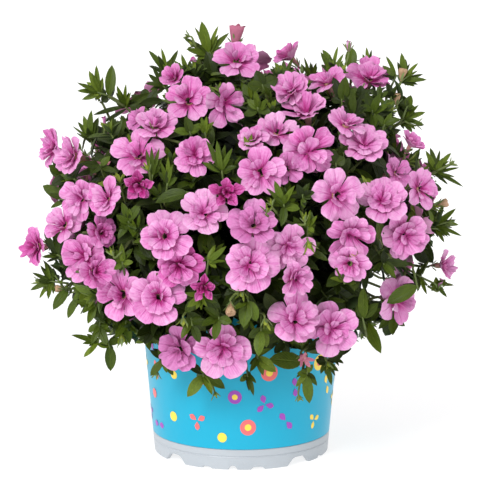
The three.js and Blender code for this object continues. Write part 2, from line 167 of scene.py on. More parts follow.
# Sprigs that are placed leaf by leaf: the node that the leaves spring from, the way and the
# length of the stem that carries it, then the way, length and width of each leaf and its tone in
# hundredths. A way is in degrees clockwise from the top, as seen from the front.
SPRIGS = [
    (-20, 0, 253, -168, 15, (-14, 19, 8, 50), (13, 19, 3, 62), (37, 19, 5, 50), (-57, 19, 4, 45),
     (-77, 14, 5, 60), (-27, 18, 3, 55), (-67, 13, 4, 75)),
    (-17, -10, 235, 173, 10, (-9, 19, 9, 28), (-42, 17, 8, 30), (56, 14, 9, 25)),
    (-47, 0, 240, 157, 13, (-33, 17, 5, 35), (-4, 16, 3, 60), (29, 16, 4, 45), (22, 10, 4, 40)),
    (-32, -5, 237, 158, 10, (-18, 16, 4, 45), (0, 13, 4, 40), (24, 15, 4, 45), (17, 11, 4, 65),
     (-40, 15, 4, 40)),
    (-48, -10, 233, 130, 11, (-51, 13, 4, 40), (-73, 11, 4, 40), (-102, 9, 4, 35), (-27, 13, 4, 40),
     (-11, 13, 4, 40)),
    (-48, -15, 225, 117, 10, (-98, 14, 6, 30)),
    (-60, -20, 217, 132, 9, (-52, 10, 7, 25), (-41, 6, 5, 30)),
    (-84, 0, 226, 121, 13, (7, 20, 8, 42), (-53, 6, 6, 25), (-130, 5, 6, 25)),
    (-89, 0, 228, 108, 6, (-4, 16, 4, 60), (-24, 14, 5, 60), (-45, 12, 4, 60), (-67, 14, 3, 50),
     (-84, 12, 4, 60), (-108, 12, 4, 65)),
    (-73, 0, 220, 137, 14, (-22, 14, 4, 60), (0, 13, 3, 60), (16, 9, 3, 60), (60, 17, 6, 40),
     (-102, 21, 4, 30), (-59, 7, 3, 40)),
    (-94, -10, 200, 148, 12, (-16, 16, 5, 45), (0, 17, 5, 45), (19, 15, 5, 45), (-48, 15, 1.9, 50),
     (-34, 14, 3, 50)),
    (-77, -20, 201, 159, 11, (-7, 15, 8, 40), (16, 16, 5, 42), (-29, 13, 4, 40)),
    (-111, -10, 179, 122, 10, (-62, 11, 6, 30), (-142, 7, 5, 30)),
    (-108, -15, 163, 112, 10, (-61, 19, 9, 38), (-112, 12, 4, 35), (-69, 12, 5, 30)),
    (-112, -45, 132, 120, 9, (-12, 19, 4, 30), (0, 19, 4, 35), (9, 15, 4, 35), (-33, 13, 3, 30)),
    (-119, -15, 111, 97, 11, (-108, 14, 4, 45), (-65, 13, 3, 45), (-79, 10, 3, 50),
     (-35, 12, 3, 50), (-13, 12, 3, 50), (-147, 13, 3, 50), (-171, 11, 3, 50)),
    (-109, -20, 107, 86, 9, (-142, 15, 8, 48)),
    (-111, -60, 136, 119, 8, (-32, 16, 4, 20), (-13, 17, 3, 35), (-2, 17, 3, 40), (-94, 10, 3, 30)),
    (-116, -15, 114, 145, 8, (-37, 13, 3, 20), (-51, 8, 1.9, 35)),
    (-110, -20, 117, 135, 6, (-52, 10, 4, 25), (15, 7, 3, 20)),
    (-103, -20, 101, 39, 9, (-151, 14, 6, 35)),
    (-90, -45, 103, 11, 10, (-163, 13, 6, 45), (-77, 11, 6, 40), (152, 13, 5, 35),
     (-129, 9, 6, 40)),
    (-89, -30, 75, 7, 16, (-70, 17, 5, 45), (-127, 13, 4, 55), (-145, 10, 3, 55), (-82, 9, 3, 60)),
    (-82, -32, 73, -16, 16, (176, 16, 9, 50), (-85, 7, 5, 50), (63, 8, 5, 50)),
    (-74, -38, 82, -29, 12, (148, 8, 3, 50), (75, 7, 3, 50), (-165, 7, 3, 65)),
    (27, 0, 237, 173, 11, (-23, 14, 4, 55), (-3, 11, 4, 50), (21, 14, 3, 45), (-54, 11, 4, 45)),
    (44, 10, 235, 169, 10, (-18, 14, 1.3, 40), (-3, 12, 3, 35), (17, 11, 3, 35), (48, 8, 3, 40)),
    (57, 0, 241, 171, 13, (-30, 15, 4, 45), (-18, 16, 6, 40), (9, 16, 3, 55), (24, 14, 3, 45),
     (-31, 7, 5, 45)),
    (69, 22, 241, 180, 13, (3, 14, 9, 35)),
    (81, 34, 240, -174, 13, (-5, 13, 3, 55), (-23, 10, 3, 50), (10, 11, 1.9, 50), (38, 10, 5, 40)),
    (97, 10, 237, -155, 12, (-20, 15, 3, 40), (-50, 11, 4, 35)),
    (102, 10, 235, -133, 12, (-7, 16, 5, 45), (34, 14, 3, 50), (40, 10, 4, 50), (87, 14, 4, 45),
     (70, 13, 3, 45), (119, 8, 3, 40)),
    (102, 5, 211, -127, 13, (23, 14, 6, 40), (72, 14, 4, 50), (47, 12, 3, 50), (109, 13, 4, 50),
     (137, 10, 4, 45), (-10, 15, 6, 35)),
    (123, 5, 177, -111, 12, (-6, 18, 4, 35), (30, 17, 4, 50), (-28, 15, 4, 50), (58, 14, 3, 50),
     (80, 14, 3, 45), (105, 12, 3, 45), (117, 18, 3, 45), (25, 10, 4, 50)),
    (123, 0, 144, -103, 12, (24, 15, 4, 40), (51, 17, 4, 50), (79, 16, 5, 50), (113, 16, 3, 50),
     (128, 11, 4, 50), (152, 12, 3, 50), (-18, 12, 4, 40), (-145, 10, 4, 40)),
    (112, -5, 135, -118, 9, (146, 16, 11, 30)),
    (122, -20, 110, -65, 12, (93, 11, 3, 50), (140, 10, 3, 50), (-16, 5, 3, 60), (58, 6, 3, 50),
     (-144, 5, 3, 50)),
    (111, -25, 116, -57, 10, (-168, 9, 3, 50), (159, 11, 3, 50), (18, 10, 3, 40)),
    (106, -80, 120, -11, 10, (-117, 20, 11, 36)),
    (96, -35, 95, -22, 10, (-154, 16, 11, 30)),
    (77, -45, 91, -18, 12, (156, 20, 9, 50), (-5, 21, 7, 40), (49, 13, 6, 35)),
    (-47, -70, 73, 7, 10, (-133, 12, 6, 42), (149, 11, 5, 45), (-58, 10, 5, 28), (94, 8, 4, 40),
     (-24, 8, 4, 40), (171, 8, 4, 60)),
    (-23, -77, 65, 0, 11, (-145, 15, 8, 50), (155, 13, 5, 50), (-53, 13, 6, 30), (115, 15, 8, 30),
     (-152, 9, 4, 60), (5, 7, 4, 60)),
    (4, -81, 66, -7, 10, (162, 12, 4, 40), (-127, 6, 4, 40)),
    (10, -81, 77, -7, 10, (129, 14, 8, 50), (163, 11, 5, 45), (-150, 9, 4, 40), (54, 9, 4, 45)),
    (37, -78, 74, 20, 9, (-81, 19, 13, 30)),
    (40, -79, 67, -3, 11, (178, 17, 8, 50), (-142, 11, 4, 50), (135, 9, 4, 40), (-84, 6, 5, 50),
     (29, 6, 4, 50)),
    (52, -72, 71, -7, 10, (126, 9, 4, 40), (167, 12, 4, 45), (-142, 7, 4, 50), (54, 14, 6, 30),
     (-68, 7, 5, 40)),
    (-52, -101, 191, -172, 9, (-13, 17, 3, 52), (0, 18, 3, 46), (14, 16, 3, 50), (-11, 10, 4, 36),
     (45, 7, 3, 50)),
    (-43, -107, 187, -171, 8, (-16, 14, 3, 46), (2, 15, 3, 52), (16, 12, 3, 48), (49, 7, 4, 40)),
    (-11, -111, 195, 172, 9, (-24, 20, 4, 36), (-13, 17, 4, 46), (2, 16, 4, 44), (24, 14, 4, 48),
     (-62, 12, 4, 36), (63, 8, 4, 42), (-32, 12, 3, 56)),
    (-31, -113, 183, 128, 7, (-96, 20, 11, 24)),
    (-66, -104, 164, 168, 9, (-54, 9, 5, 34), (-16, 12, 5, 36), (25, 13, 6, 38), (-144, 11, 5, 32),
     (153, 11, 6, 30), (5, 8, 4, 52)),
    (-70, -101, 139, 171, 8, (-32, 10, 4, 45), (-3, 11, 4, 55), (35, 10, 4, 50), (-122, 6, 4, 40),
     (84, 6, 4, 50)),
    (-19, -122, 144, -172, 9, (47, 12, 4, 60), (19, 11, 4, 60), (79, 10, 3, 58), (127, 6, 3, 60)),
    (5, -103, 207, 171, 8, (-23, 8, 3, 60), (4, 10, 3, 60), (36, 9, 3, 55), (81, 8, 4, 45)),
    (25, -117, 176, 172, 9, (-45, 14, 5, 40), (-22, 14, 5, 50), (21, 11, 4, 50), (90, 9, 7, 42),
     (-176, 10, 6, 45), (-86, 9, 5, 40)),
    (39, -117, 163, 180, 9, (-23, 10, 3, 60), (4, 10, 3, 62), (36, 9, 3, 60), (124, 5, 4, 50)),
    (14, -122, 164, 175, 8, (-45, 8, 4, 45), (-4, 9, 4, 50), (56, 7, 4, 50), (139, 7, 4, 45)),
    (4, -119, 120, -4, 9, (-171, 16, 9, 42), (151, 13, 8, 45), (-122, 10, 5, 35)),
    (12, -107, 100, 0, 10, (-170, 14, 8, 50), (156, 12, 6, 45), (-124, 9, 6, 40), (90, 9, 6, 35)),
    (-13, -112, 108, -8, 9, (-52, 10, 6, 32), (-167, 12, 6, 35), (108, 8, 6, 38),
     (-118, 11, 6, 35)),
    (-29, -106, 103, -9, 8, (-146, 11, 6, 38), (152, 11, 6, 35), (-78, 9, 5, 40), (69, 9, 5, 40)),
    (73, -84, 102, 165, 7, (2, 20, 8, 40), (45, 12, 7, 30), (-25, 9, 4, 30)),
    (85, -87, 136, -24, 8, (94, 16, 6, 30), (3, 11, 6, 20), (144, 12, 5, 32), (-132, 9, 4, 36)),
    (61, -105, 128, -5, 8, (-61, 8, 4, 50), (-24, 11, 4, 55), (27, 10, 4, 50), (100, 7, 4, 45)),
    (-84, -74, 193, 163, 9, (-79, 10, 6, 30), (-138, 8, 6, 30), (114, 11, 6, 28), (48, 8, 5, 35)),
    (-30, -90, 215, 171, 8, (-14, 10, 7, 40), (-74, 9, 6, 35), (45, 9, 5, 50)),
    (-21, -93, 215, 171, 8, (-14, 10, 3, 60), (7, 10, 3, 62), (35, 8, 3, 60)),
    (10, -78, 228, 162, 8, (-45, 9, 5, 40), (-8, 9, 4, 50), (39, 8, 4, 50), (-106, 9, 6, 40),
     (108, 8, 6, 35)),
    (13, -57, 239, 162, 8, (-82, 9, 8, 30), (-23, 10, 8, 35), (67, 10, 9, 32), (149, 7, 6, 30)),
    (61, -47, 229, 180, 8, (-20, 15, 7, 22), (9, 15, 8, 25), (-68, 7, 6, 22), (54, 11, 7, 30)),
    (80, -38, 221, -171, 8, (-18, 12, 6, 35), (18, 12, 6, 35), (63, 11, 5, 40), (-72, 8, 6, 30)),
    (87, -43, 213, -162, 8, (30, 10, 4, 45), (67, 10, 5, 40), (-27, 8, 4, 45)),
    (56, -95, 197, 180, 8, (-22, 10, 8, 28), (58, 6, 8, 28), (-125, 8, 6, 30)),
    (-53, -112, 155, 171, 8, (-40, 10, 4, 50), (-14, 10, 4, 55), (-90, 9, 4, 45)),
    (-61, 34, 214, 140, 10, (-41, 12, 8, 20), (0, 14, 8, 22), (27, 14, 8, 25), (-90, 6, 6, 20),
     (54, 11, 6, 20), (22, 7, 6, 15)),
    (-82, -40, 99, 16, 9, (-130, 10, 6, 50), (-174, 13, 6, 45), (151, 13, 6, 50), (-82, 9, 5, 50)),
    (-71, -45, 91, 8, 9, (-148, 12, 6, 50), (169, 13, 6, 45), (131, 12, 6, 40), (-106, 9, 5, 50)),
    (-88, -35, 87, 16, 9, (-108, 8, 6, 55), (-159, 11, 5, 50), (156, 12, 6, 50), (117, 8, 5, 45)),
    (-58, -62, 90, 0, 9, (-161, 8, 5, 36), (169, 13, 6, 45), (130, 10, 5, 40)),
    (-97, -40, 109, 27, 8, (-124, 9, 5, 50), (-173, 10, 6, 50), (140, 10, 5, 45), (-72, 8, 4, 50)),
    (93, -45, 94, -23, 10, (124, 9, 6, 45), (180, 10, 6, 45), (-135, 11, 5, 50), (69, 11, 5, 50)),
    (110, -22, 116, -135, 7, (-81, 8, 4, 24), (37, 6, 3, 30)),
    (55, -66, 74, 8, 9, (68, 12, 6, 22), (114, 8, 4, 30)),
    (-39, -80, 99, 18, 8, (-138, 9, 6, 25), (180, 10, 6, 22), (137, 10, 6, 28), (-76, 5, 5, 20)),
    (-25, -78, 93, 8, 9, (-142, 10, 6, 22), (177, 11, 6, 25), (135, 11, 6, 22), (-90, 5, 6, 18)),
    (-11, -78, 93, 0, 9, (-147, 10, 6, 25), (174, 12, 6, 20), (131, 12, 6, 25), (80, 7, 6, 20)),
    (3, -78, 91, 0, 9, (-140, 10, 6, 20), (177, 11, 6, 25), (137, 11, 6, 22)),
    (16, -80, 94, -8, 9, (-147, 10, 6, 22), (174, 11, 6, 25), (133, 10, 6, 22), (81, 8, 6, 20)),
    (26, -76, 86, 0, 8, (-141, 9, 6, 20), (169, 10, 6, 22), (122, 10, 6, 20)),
    (-53, -72, 92, 27, 8, (-144, 9, 6, 25), (176, 9, 6, 28), (138, 8, 6, 25)),
    (36, -76, 91, 0, 9, (-150, 9, 6, 20), (169, 10, 6, 22), (127, 9, 6, 20)),
    (36, -112, 181, 180, 9, (-27, 8, 5, 25), (21, 9, 5, 28), (80, 7, 5, 25), (-90, 7, 4, 20),
     (169, 6, 4, 30)),
    (104, 3, 219, -157, 8, (-21, 9, 6, 22), (18, 8, 6, 28), (-63, 7, 4, 25), (76, 5, 4, 30)),
    (94, 0, 227, -171, 8, (-17, 9, 5, 25), (27, 7, 4, 30), (-63, 6, 4, 22), (74, 5, 4, 28)),
    (85, -15, 227, -171, 8, (-39, 8, 5, 25), (9, 8, 5, 22), (56, 7, 4, 28), (-90, 6, 4, 20)),
    (73, -30, 228, 180, 8, (-39, 8, 5, 22), (5, 8, 6, 25), (48, 8, 5, 22), (95, 8, 4, 28)),
    (61, -80, 201, -174, 6, (-29, 6, 4, 20), (18, 6, 4, 22), (74, 5, 4, 20), (-82, 4, 4, 22)),
    (-110, -12, 177, 105, 7, (-59, 11, 8, 25), (-30, 12, 6, 28), (-117, 10, 7, 22), (4, 9, 6, 25),
     (-162, 10, 6, 22)),
    (113, -10, 153, -112, 7, (37, 9, 6, 32), (82, 9, 5, 38), (141, 9, 6, 30), (-4, 8, 5, 28),
     (114, 11, 4, 40)),
    (117, -10, 122, -153, 8, (-43, 13, 8, 20)),
    (95, -20, 190, -151, 12, (-8, 19, 6, 20), (2, 16, 3, 48), (65, 12, 3, 30), (138, 8, 3, 26),
     (-119, 6, 3, 30), (22, 12, 3, 28)),
    (104, -16, 184, -144, 11, (33, 13, 6, 18), (33, 15, 1.9, 40), (15, 10, 3, 34), (67, 8, 3, 34)),
    (-86, -42, 186, 126, 11, (-100, 15, 6, 22), (-86, 9, 4, 42), (-63, 11, 4, 36),
     (-152, 9, 3, 25)),
    (68, -50, 220, 166, 10, (-4, 16, 5, 38), (-25, 13, 4, 26), (22, 14, 4, 22), (58, 10, 4, 26)),
    (81, -40, 211, -172, 9, (9, 11, 4, 42), (-24, 12, 4, 24), (48, 9, 3, 30)),
]

# Shoots that show in the gaps between the front blooms: azimuth and height angle of the tip.
GAP_TIPS = [
    (-62, 14), (-40, 24), (-41, -37), (-56, -36), (64, 1), (42, 22), (65, 9), (-17, 66),
    (-34, 59),
]

# Flower buds, calyces and spent blooms: the base, the way as for a sprig, length and kind.
BUDS = [
    (-4, 0, 256, 6, 15, "bell"), (-29, 0, 257, -60, 5, "green"), (-32, 0, 263, -70, 4, "green"),
    (-85, -10, 207, 0, 7, "pink"), (-110, -15, 106, -85, 7, "spent"),
    (-74, -38, 82, 170, 8, "green"), (100, 8, 234, 10, 9, "spent"), (97, 0, 220, 0, 8, "spent"),
    (90, -5, 205, 0, 7, "spent"), (67, 5, 253, 0, 7, "pale"), (122, 0, 156, 70, 9, "spent"),
    (123, -20, 107, 20, 7, "pale"), (36, -93, 82, 150, 11.5, "dried"),
    (-83, -60, 189, 20, 8, "dried"), (52, -73, 73, 150, 6, "green"),
    (-34, -112, 108, 180, 7, "green"), (14, -117, 109, 170, 7, "green"),
    (1, -125, 127, 190, 6, "green"), (-6, -122, 120, 180, 9, "spent"),
    (-54, -103, 194, -20, 6, "green"), (18, -122, 177, -15, 5, "green"),
    (15, -124, 173, 10, 5, "green"), (37, -121, 167, 0, 6, "green"),
    (39, -122, 156, 165, 8, "green"), (-2, -125, 126, -10, 7, "green"),
    (-75, -104, 144, -30, 6, "green"), (-52, -84, 216, 15, 9, "pink"),
    (65, -110, 141, 10, 8, "spent"), (-17, -5, 250, 10, 5, "green"), (35, -78, 53, 170, 5, "green"),
    (-16, -77, 55, 160, 5, "green"), (-51, -70, 66, 190, 5, "green"), (110, 5, 207, 80, 5, "green"),
    (131, 5, 182, 60, 5, "green"), (130, 0, 146, 80, 5, "green"), (-126, -15, 110, -60, 5, "green"),
]

# How far from the dome's centre the foliage reaches at each turn clockwise from the top, as seen
# from the front.
OUTLINE_TURNS = range(0, 361, 8)
OUTLINE_REACH = [
    108, 95, 106, 104, 120, 127, 130, 124, 115, 124, 129, 128, 129, 130, 122, 120, 115, 112, 106,
    100, 92, 88, 87, 87, 88, 92, 100, 104, 114, 120, 120, 124, 124, 127, 115, 117, 120, 117, 108,
    98, 88, 93, 104, 108, 108, 108,
]

# Gaps at the plant's edge that light comes through: where each is seen from the front, to the
# right of the dome's centre and above it, then half its width and half its height.
LIGHT_GAPS = [(84.6, -44.9, 7.0, 9.5), (111.0, -29.5, 5.0, 8.0)]

# Further blooms and shoots: how many at most, how many places are tried for them, and how far
# apart the tips of the shoots stand.
BLOOMS_BEHIND, BLOOM_TRIES = 80, 5000
SHOOTS_BETWEEN, SHOOT_TRIES, TIP_SPACING = 170, 6000, 17

# Forks where the branches part: radius from the axis, height, number around, first azimuth.
FORK_RINGS = [(68, 124, 7, 0), (58, 154, 6, 28), (34, 186, 4, 40)]


# ---- shader expressions ----


def srgb(red, green, blue):
    """A linear colour from the 0 to 255 values of a paint chart."""

    def linear(value):
        share = value / 255
        return share / 12.92 if share <= 0.04045 else ((share + 0.055) / 1.055) ** 2.4

    return (linear(red), linear(green), linear(blue), 1.0)


class Field:
    """A value that varies over a surface. Arithmetic on it adds Math nodes."""

    def __init__(self, finish, socket):
        self.finish = finish
        self.socket = socket

    def maths(self, operation, *values):
        return self.finish.node(
            "ShaderNodeMath", {"operation": operation}, dict(enumerate(values))
        )

    def __add__(self, other):
        return self.maths("ADD", self, other)

    __radd__ = __add__

    def __mul__(self, other):
        return self.maths("MULTIPLY", self, other)

    __rmul__ = __mul__

    def __sub__(self, other):
        return self.maths("SUBTRACT", self, other)

    def __rsub__(self, other):
        return self.maths("SUBTRACT", other, self)

    def __abs__(self):
        return self.maths("ABSOLUTE", self)

    def sine(self):
        return self.maths("SINE", self)

    def rising(self, low, high):
        """0 below low, 1 above high and a smooth step between."""
        return self.finish.node(
            "ShaderNodeMapRange",
            {"interpolation_type": "SMOOTHSTEP"},
            {"Value": self, "From Min": low, "From Max": high},
        )

    def other(self, output):
        return Field(self.finish, self.socket.node.outputs[output])


class Finish:
    """One material of the plant or its pot, on the Principled shader."""

    def __init__(self, name, constants):
        self.material = bpy.data.materials.new(name)
        self.material.use_nodes = True
        self.tree = self.material.node_tree
        self.shader = self.tree.nodes["Principled BSDF"]
        for socket, value in constants.items():
            self.shader.inputs[socket].default_value = value

    def node(self, kind, settings=None, sockets=None, output=0):
        made = self.tree.nodes.new(kind)
        for setting, value in (settings or {}).items():
            if setting == "stops":
                self.set_stops(made.color_ramp.elements, value)
            else:
                setattr(made, setting, value)
        for socket, value in (sockets or {}).items():
            self.feed(made.inputs[socket], value)
        return Field(self, made.outputs[output])

    def set_stops(self, elements, stops):
        while len(elements) < len(stops):
            elements.new(1.0)
        for element, (place, *colour) in zip(elements, stops):
            element.position = place
            element.color = srgb(*colour)

    def feed(self, socket, value):
        if isinstance(value, Field):
            self.tree.links.new(value.socket, socket)
        else:
            socket.default_value = value

    def surface(self, **fields):
        """Links fields to the shader's sockets, such as Base_Color=colour."""
        for socket, value in fields.items():
            self.feed(self.shader.inputs[socket.replace("_", " ")], value)
        return self.material

    def blend(self, share, first, second):
        return self.node(
            "ShaderNodeMix", {"data_type": "RGBA"}, {0: share, 6: first, 7: second}, output=2
        )

    def ramp(self, share, *stops):
        """A colour ramp; a stop is its place, then red, green and blue as in srgb."""
        return self.node("ShaderNodeValToRGB", {"stops": stops}, {0: share})

    def noise(self, where, scale, detail=2.0):
        return self.node(
            "ShaderNodeTexNoise", {}, {"Vector": where, "Scale": scale, "Detail": detail}
        )

    def grain(self, across, along, tone, detail=2.0):
        """Noise that follows what a blade or a round form is painted with."""
        where = self.node("ShaderNodeCombineXYZ", {}, {0: across, 1: along, 2: tone})
        return self.noise(where, 1.0, detail)

    def relief(self, height, depth):
        """A normal from a height field whose full range is depth metres."""
        return self.node(
            "ShaderNodeBump", {}, {"Height": height, "Distance": depth, "Strength": 1.0}
        )

    def painted(self):
        """What each mesh carries: the way along and across a blade, its tone and its fading."""
        carried = self.node("ShaderNodeAttribute", {"attribute_name": "paint"}, output="Color")
        along = self.node("ShaderNodeSeparateColor", {}, {"Color": carried})
        return along, along.other("Green"), along.other("Blue"), carried.other("Alpha")

    def in_place(self):
        return self.node("ShaderNodeTexCoord", {}, output="Object")

    def height(self, where):
        return self.node("ShaderNodeSeparateXYZ", {}, {0: where}, output=2)


# ---- finishes ----

PETAL_TONES = [
    (0.0, 236, 180, 220), (0.25, 227, 145, 204), (0.5, 215, 106, 181), (0.76, 196, 50, 142),
    (1.0, 142, 18, 84),
]
LEAF_TONES = [
    (0.0, 21, 28, 7), (0.25, 46, 60, 13), (0.5, 82, 102, 23), (0.75, 120, 140, 38),
    (1.0, 178, 186, 78),
]


def petal_face():
    finish = Finish("petal_face", {"Roughness": 0.55, "Specular IOR Level": 0.3})
    along, across, tone, fading = finish.painted()
    off_middle = abs(across - 0.5)
    spread = (across - 0.5) * (1.3 - along * 0.3)
    veins = finish.grain(spread * 38, along * 1.6, tone * 60, 3.0)
    vein_lines = veins.rising(0.5, 0.64)
    midvein = (1 - off_middle.rising(0.0, 0.03)) * (1 - along.rising(0.5, 1.0) * 0.6)
    mottle = finish.grain(across * 3, along * 3, tone * 90)
    grain = finish.grain(across * 14, along * 10, tone * 50, 3.0)
    # Deeper pink towards each petal's base, here and in (1 - along) below: partly the bloom's own
    # deeper heart, partly painted shade in the valleys between the whorls.
    heart_and_valley_shade = (1 - along.rising(0.06, 0.56)) * 0.36
    # Paler towards the petal's edges and tip: partly the petal's own paler margin, partly a painted
    # highlight where the thin edge catches light.
    pale_margin_and_highlight = (off_middle.rising(0.34, 0.5) + along.rising(0.8, 1.0)) * (tone * 0.34 + 0.04)
    depth = (
        tone
        + heart_and_valley_shade
        + (1 - along) * 0.12
        + vein_lines * (1.15 - along) * 0.32
        + midvein * 0.2
        + (mottle - 0.5) * 0.4
        + (grain - 0.5) * 0.36
        - pale_margin_and_highlight
    )
    colour = finish.ramp(depth, *PETAL_TONES)
    faded = finish.blend(fading, colour, srgb(202, 126, 182))
    crease = vein_lines * 0.35 + midvein
    return finish.surface(
        Base_Color=faded, Normal=finish.relief(mottle * 0.8 + grain * 0.4 - crease * 0.5, 0.0007)
    )


def petal_back():
    finish = Finish("petal_back", {"Roughness": 0.6, "Specular IOR Level": 0.3})
    along, across, tone, fading = finish.painted()
    off_middle = abs(across - 0.5)
    veins = finish.grain(across * 18, along * 1.4, tone * 60)
    midvein = 1 - off_middle.rising(0.0, 0.05)
    depth = tone * 0.7 + (1 - along) * 0.25 + veins.rising(0.45, 0.7) * 0.14 + midvein * 0.2
    colour = finish.ramp(
        depth,
        (0.0, 240, 180, 218), (0.5, 224, 140, 196), (1.0, 180, 74, 142),
    )
    return finish.surface(Base_Color=finish.blend(fading * 0.6, colour, srgb(176, 114, 158)))


def bloom_throat():
    finish = Finish("bloom_throat", {"Roughness": 0.7})
    along, across, _, _ = finish.painted()
    streaks = finish.grain(across * 30, along * 2, 0.0)
    colour = finish.ramp(
        along + (streaks - 0.5) * 0.3,
        (0.0, 30, 20, 8), (0.5, 62, 42, 16), (0.75, 96, 32, 50), (1.0, 140, 28, 92),
    )
    return finish.surface(Base_Color=colour)


def bloom_tube():
    finish = Finish("bloom_tube", {"Roughness": 0.6})
    along, across, tone, _ = finish.painted()
    stripes = finish.grain(across * 24, along * 1.2, tone * 20)
    colour = finish.ramp(
        along * 0.8 + stripes * 0.3,
        (0.1, 150, 156, 84), (0.5, 176, 132, 110), (0.95, 196, 110, 160),
    )
    return finish.surface(Base_Color=colour)


def leaf_blade():
    finish = Finish("leaf_blade", {"Roughness": 0.44, "Specular IOR Level": 0.26})
    along, across, tone, _ = finish.painted()
    off_middle = abs(across - 0.5)
    midrib = 1 - off_middle.rising(0.0, 0.06)
    side_veins = ((along * 60 - off_middle * 42).sine() * 0.5 + 0.5).rising(0.72, 1.0)
    mottle = finish.grain(across * 5, along * 9, tone * 70, 3.0)
    depth = (
        tone
        + midrib * 0.10
        + side_veins * 0.03
        + (mottle - 0.5) * 0.22
        + off_middle.rising(0.4, 0.5) * 0.05
    )
    colour = finish.ramp(depth, *LEAF_TONES)
    height = mottle * 0.5 - midrib * 0.6 - side_veins * 0.25
    return finish.surface(Base_Color=colour, Normal=finish.relief(height, 0.0004))


def leaf_underside():
    finish = Finish("leaf_underside", {"Roughness": 0.6})
    along, across, tone, _ = finish.painted()
    midrib = 1 - abs(across - 0.5).rising(0.0, 0.08)
    mottle = finish.grain(across * 5, along * 9, tone * 70)
    colour = finish.ramp(
        tone + midrib * 0.12 + (mottle - 0.5) * 0.16,
        (0.0, 26, 36, 18), (0.5, 78, 100, 56), (1.0, 142, 162, 96),
    )
    return finish.surface(Base_Color=colour)


def young_stem():
    finish = Finish("young_stem", {"Roughness": 0.6})
    along, across, tone, _ = finish.painted()
    grain = finish.grain(across * 8, along * 20, tone * 30)
    colour = finish.ramp(
        tone * 0.7 + grain * 0.4,
        (0.1, 52, 62, 28), (0.5, 88, 104, 48), (0.95, 134, 150, 78),
    )
    return finish.surface(Base_Color=colour)


def spent_petal():
    finish = Finish("spent_petal", {"Roughness": 0.85})
    along, across, tone, _ = finish.painted()
    crumple = finish.grain(across * 9, along * 6, tone * 40, 3.0)
    colour = finish.ramp(
        crumple * 0.7 + tone * 0.4,
        (0.2, 122, 90, 62), (0.5, 190, 156, 120), (0.75, 212, 166, 150), (0.95, 188, 108, 136),
    )
    return finish.surface(Base_Color=colour, Normal=finish.relief(crumple, 0.0006))


def moulded_plastic():
    finish = Finish("moulded_plastic", {"Roughness": 0.4})
    where = finish.in_place()
    cloud = finish.noise(where, 30.0, 3.0)
    grain = finish.noise(where, 900.0)
    height = finish.height(where)
    # Darker in cloudy patches within 6 mm of the ground.
    darker_near_ground = (1 - height.rising(0.0, 0.006)) * cloud.rising(0.35, 0.7)
    colour = finish.blend(cloud * 0.35 + darker_near_ground * 0.4, srgb(184, 190, 196), srgb(158, 166, 174))
    return finish.surface(
        Base_Color=colour,
        Roughness=cloud * 0.2 + 0.3,
        Normal=finish.relief(grain, 0.00006),
    )


def printed_film():
    finish = Finish("printed_film", {"Specular IOR Level": 0.32})
    where = finish.in_place()
    cloud = finish.noise(where, 18.0)
    screen = finish.noise(where, 1400.0, 1.0)
    height = finish.height(where)
    colour = finish.blend(height.rising(0.012, 0.1) * 0.4, srgb(25, 172, 206), srgb(42, 187, 218))
    shaded = finish.blend(cloud * 0.25 + screen * 0.08, colour, srgb(17, 156, 194))
    return finish.surface(
        Base_Color=shaded,
        Roughness=cloud * 0.15 + 0.26,
        Normal=finish.relief(cloud + screen * 0.05, 0.0004),
    )


def flat_tint(name, tint, worn):
    """An ink or another even colour that is slightly worn."""
    finish = Finish(name, {"Roughness": 0.36})
    where = finish.in_place()
    screen = finish.noise(where, 700.0)
    cloud = finish.noise(where, 120.0)
    return finish.surface(Base_Color=finish.blend(screen * 0.3 + cloud * 0.3, tint, worn))


def potting_mix():
    finish = Finish("potting_mix", {"Roughness": 0.95})
    where = finish.in_place()
    clods = finish.noise(where, 160.0, 4.0)
    fibres = finish.noise(where, 700.0, 3.0)
    colour = finish.ramp(
        clods * 0.6 + fibres * 0.4,
        (0.3, 24, 17, 11), (0.55, 52, 38, 26), (0.8, 92, 70, 48),
    )
    return finish.surface(Base_Color=colour, Normal=finish.relief(clods + fibres * 0.4, 0.0012))


def bark():
    finish = Finish("stem_bark", {"Roughness": 0.7})
    _, _, tone, _ = finish.painted()
    streaks = finish.noise(finish.in_place(), 260.0, 3.0)
    colour = finish.ramp(
        tone * 0.75 + streaks * 0.35,
        (0.15, 58, 46, 28), (0.5, 84, 94, 44), (0.9, 122, 140, 68),
    )
    return finish.surface(Base_Color=colour, Normal=finish.relief(streaks, 0.0004))


# ---- places and directions ----


def unit(vector):
    return vector / np.linalg.norm(vector)


def direction(azimuth, height):
    a, h = math.radians(azimuth), math.radians(height)
    return np.array((math.sin(a) * math.cos(h), -math.cos(a) * math.cos(h), math.sin(h)))


def dome_point(azimuth, height, share=1.0):
    return DOME_CENTRE + direction(azimuth, height) * DOME_REACH * share


def way_out(spot):
    """The share of the way from the dome's centre to its outside at which the spot is."""
    return np.linalg.norm((spot - DOME_CENTRE) / DOME_REACH)


def seen_way(turn, towards=0.0):
    """A way that is turned clockwise from the top as seen from the front, and comes nearer."""
    turn, pitch = math.radians(turn), math.radians(VIEW_PITCH)
    up = np.array((0.0, math.sin(pitch), math.cos(pitch)))
    nearer = np.array((0.0, -math.cos(pitch), math.sin(pitch)))
    return np.array((math.sin(turn), 0.0, 0.0)) + up * math.cos(turn) + nearer * towards


def outer_radius(height):
    return FOOT_RADIUS + TAPER * height


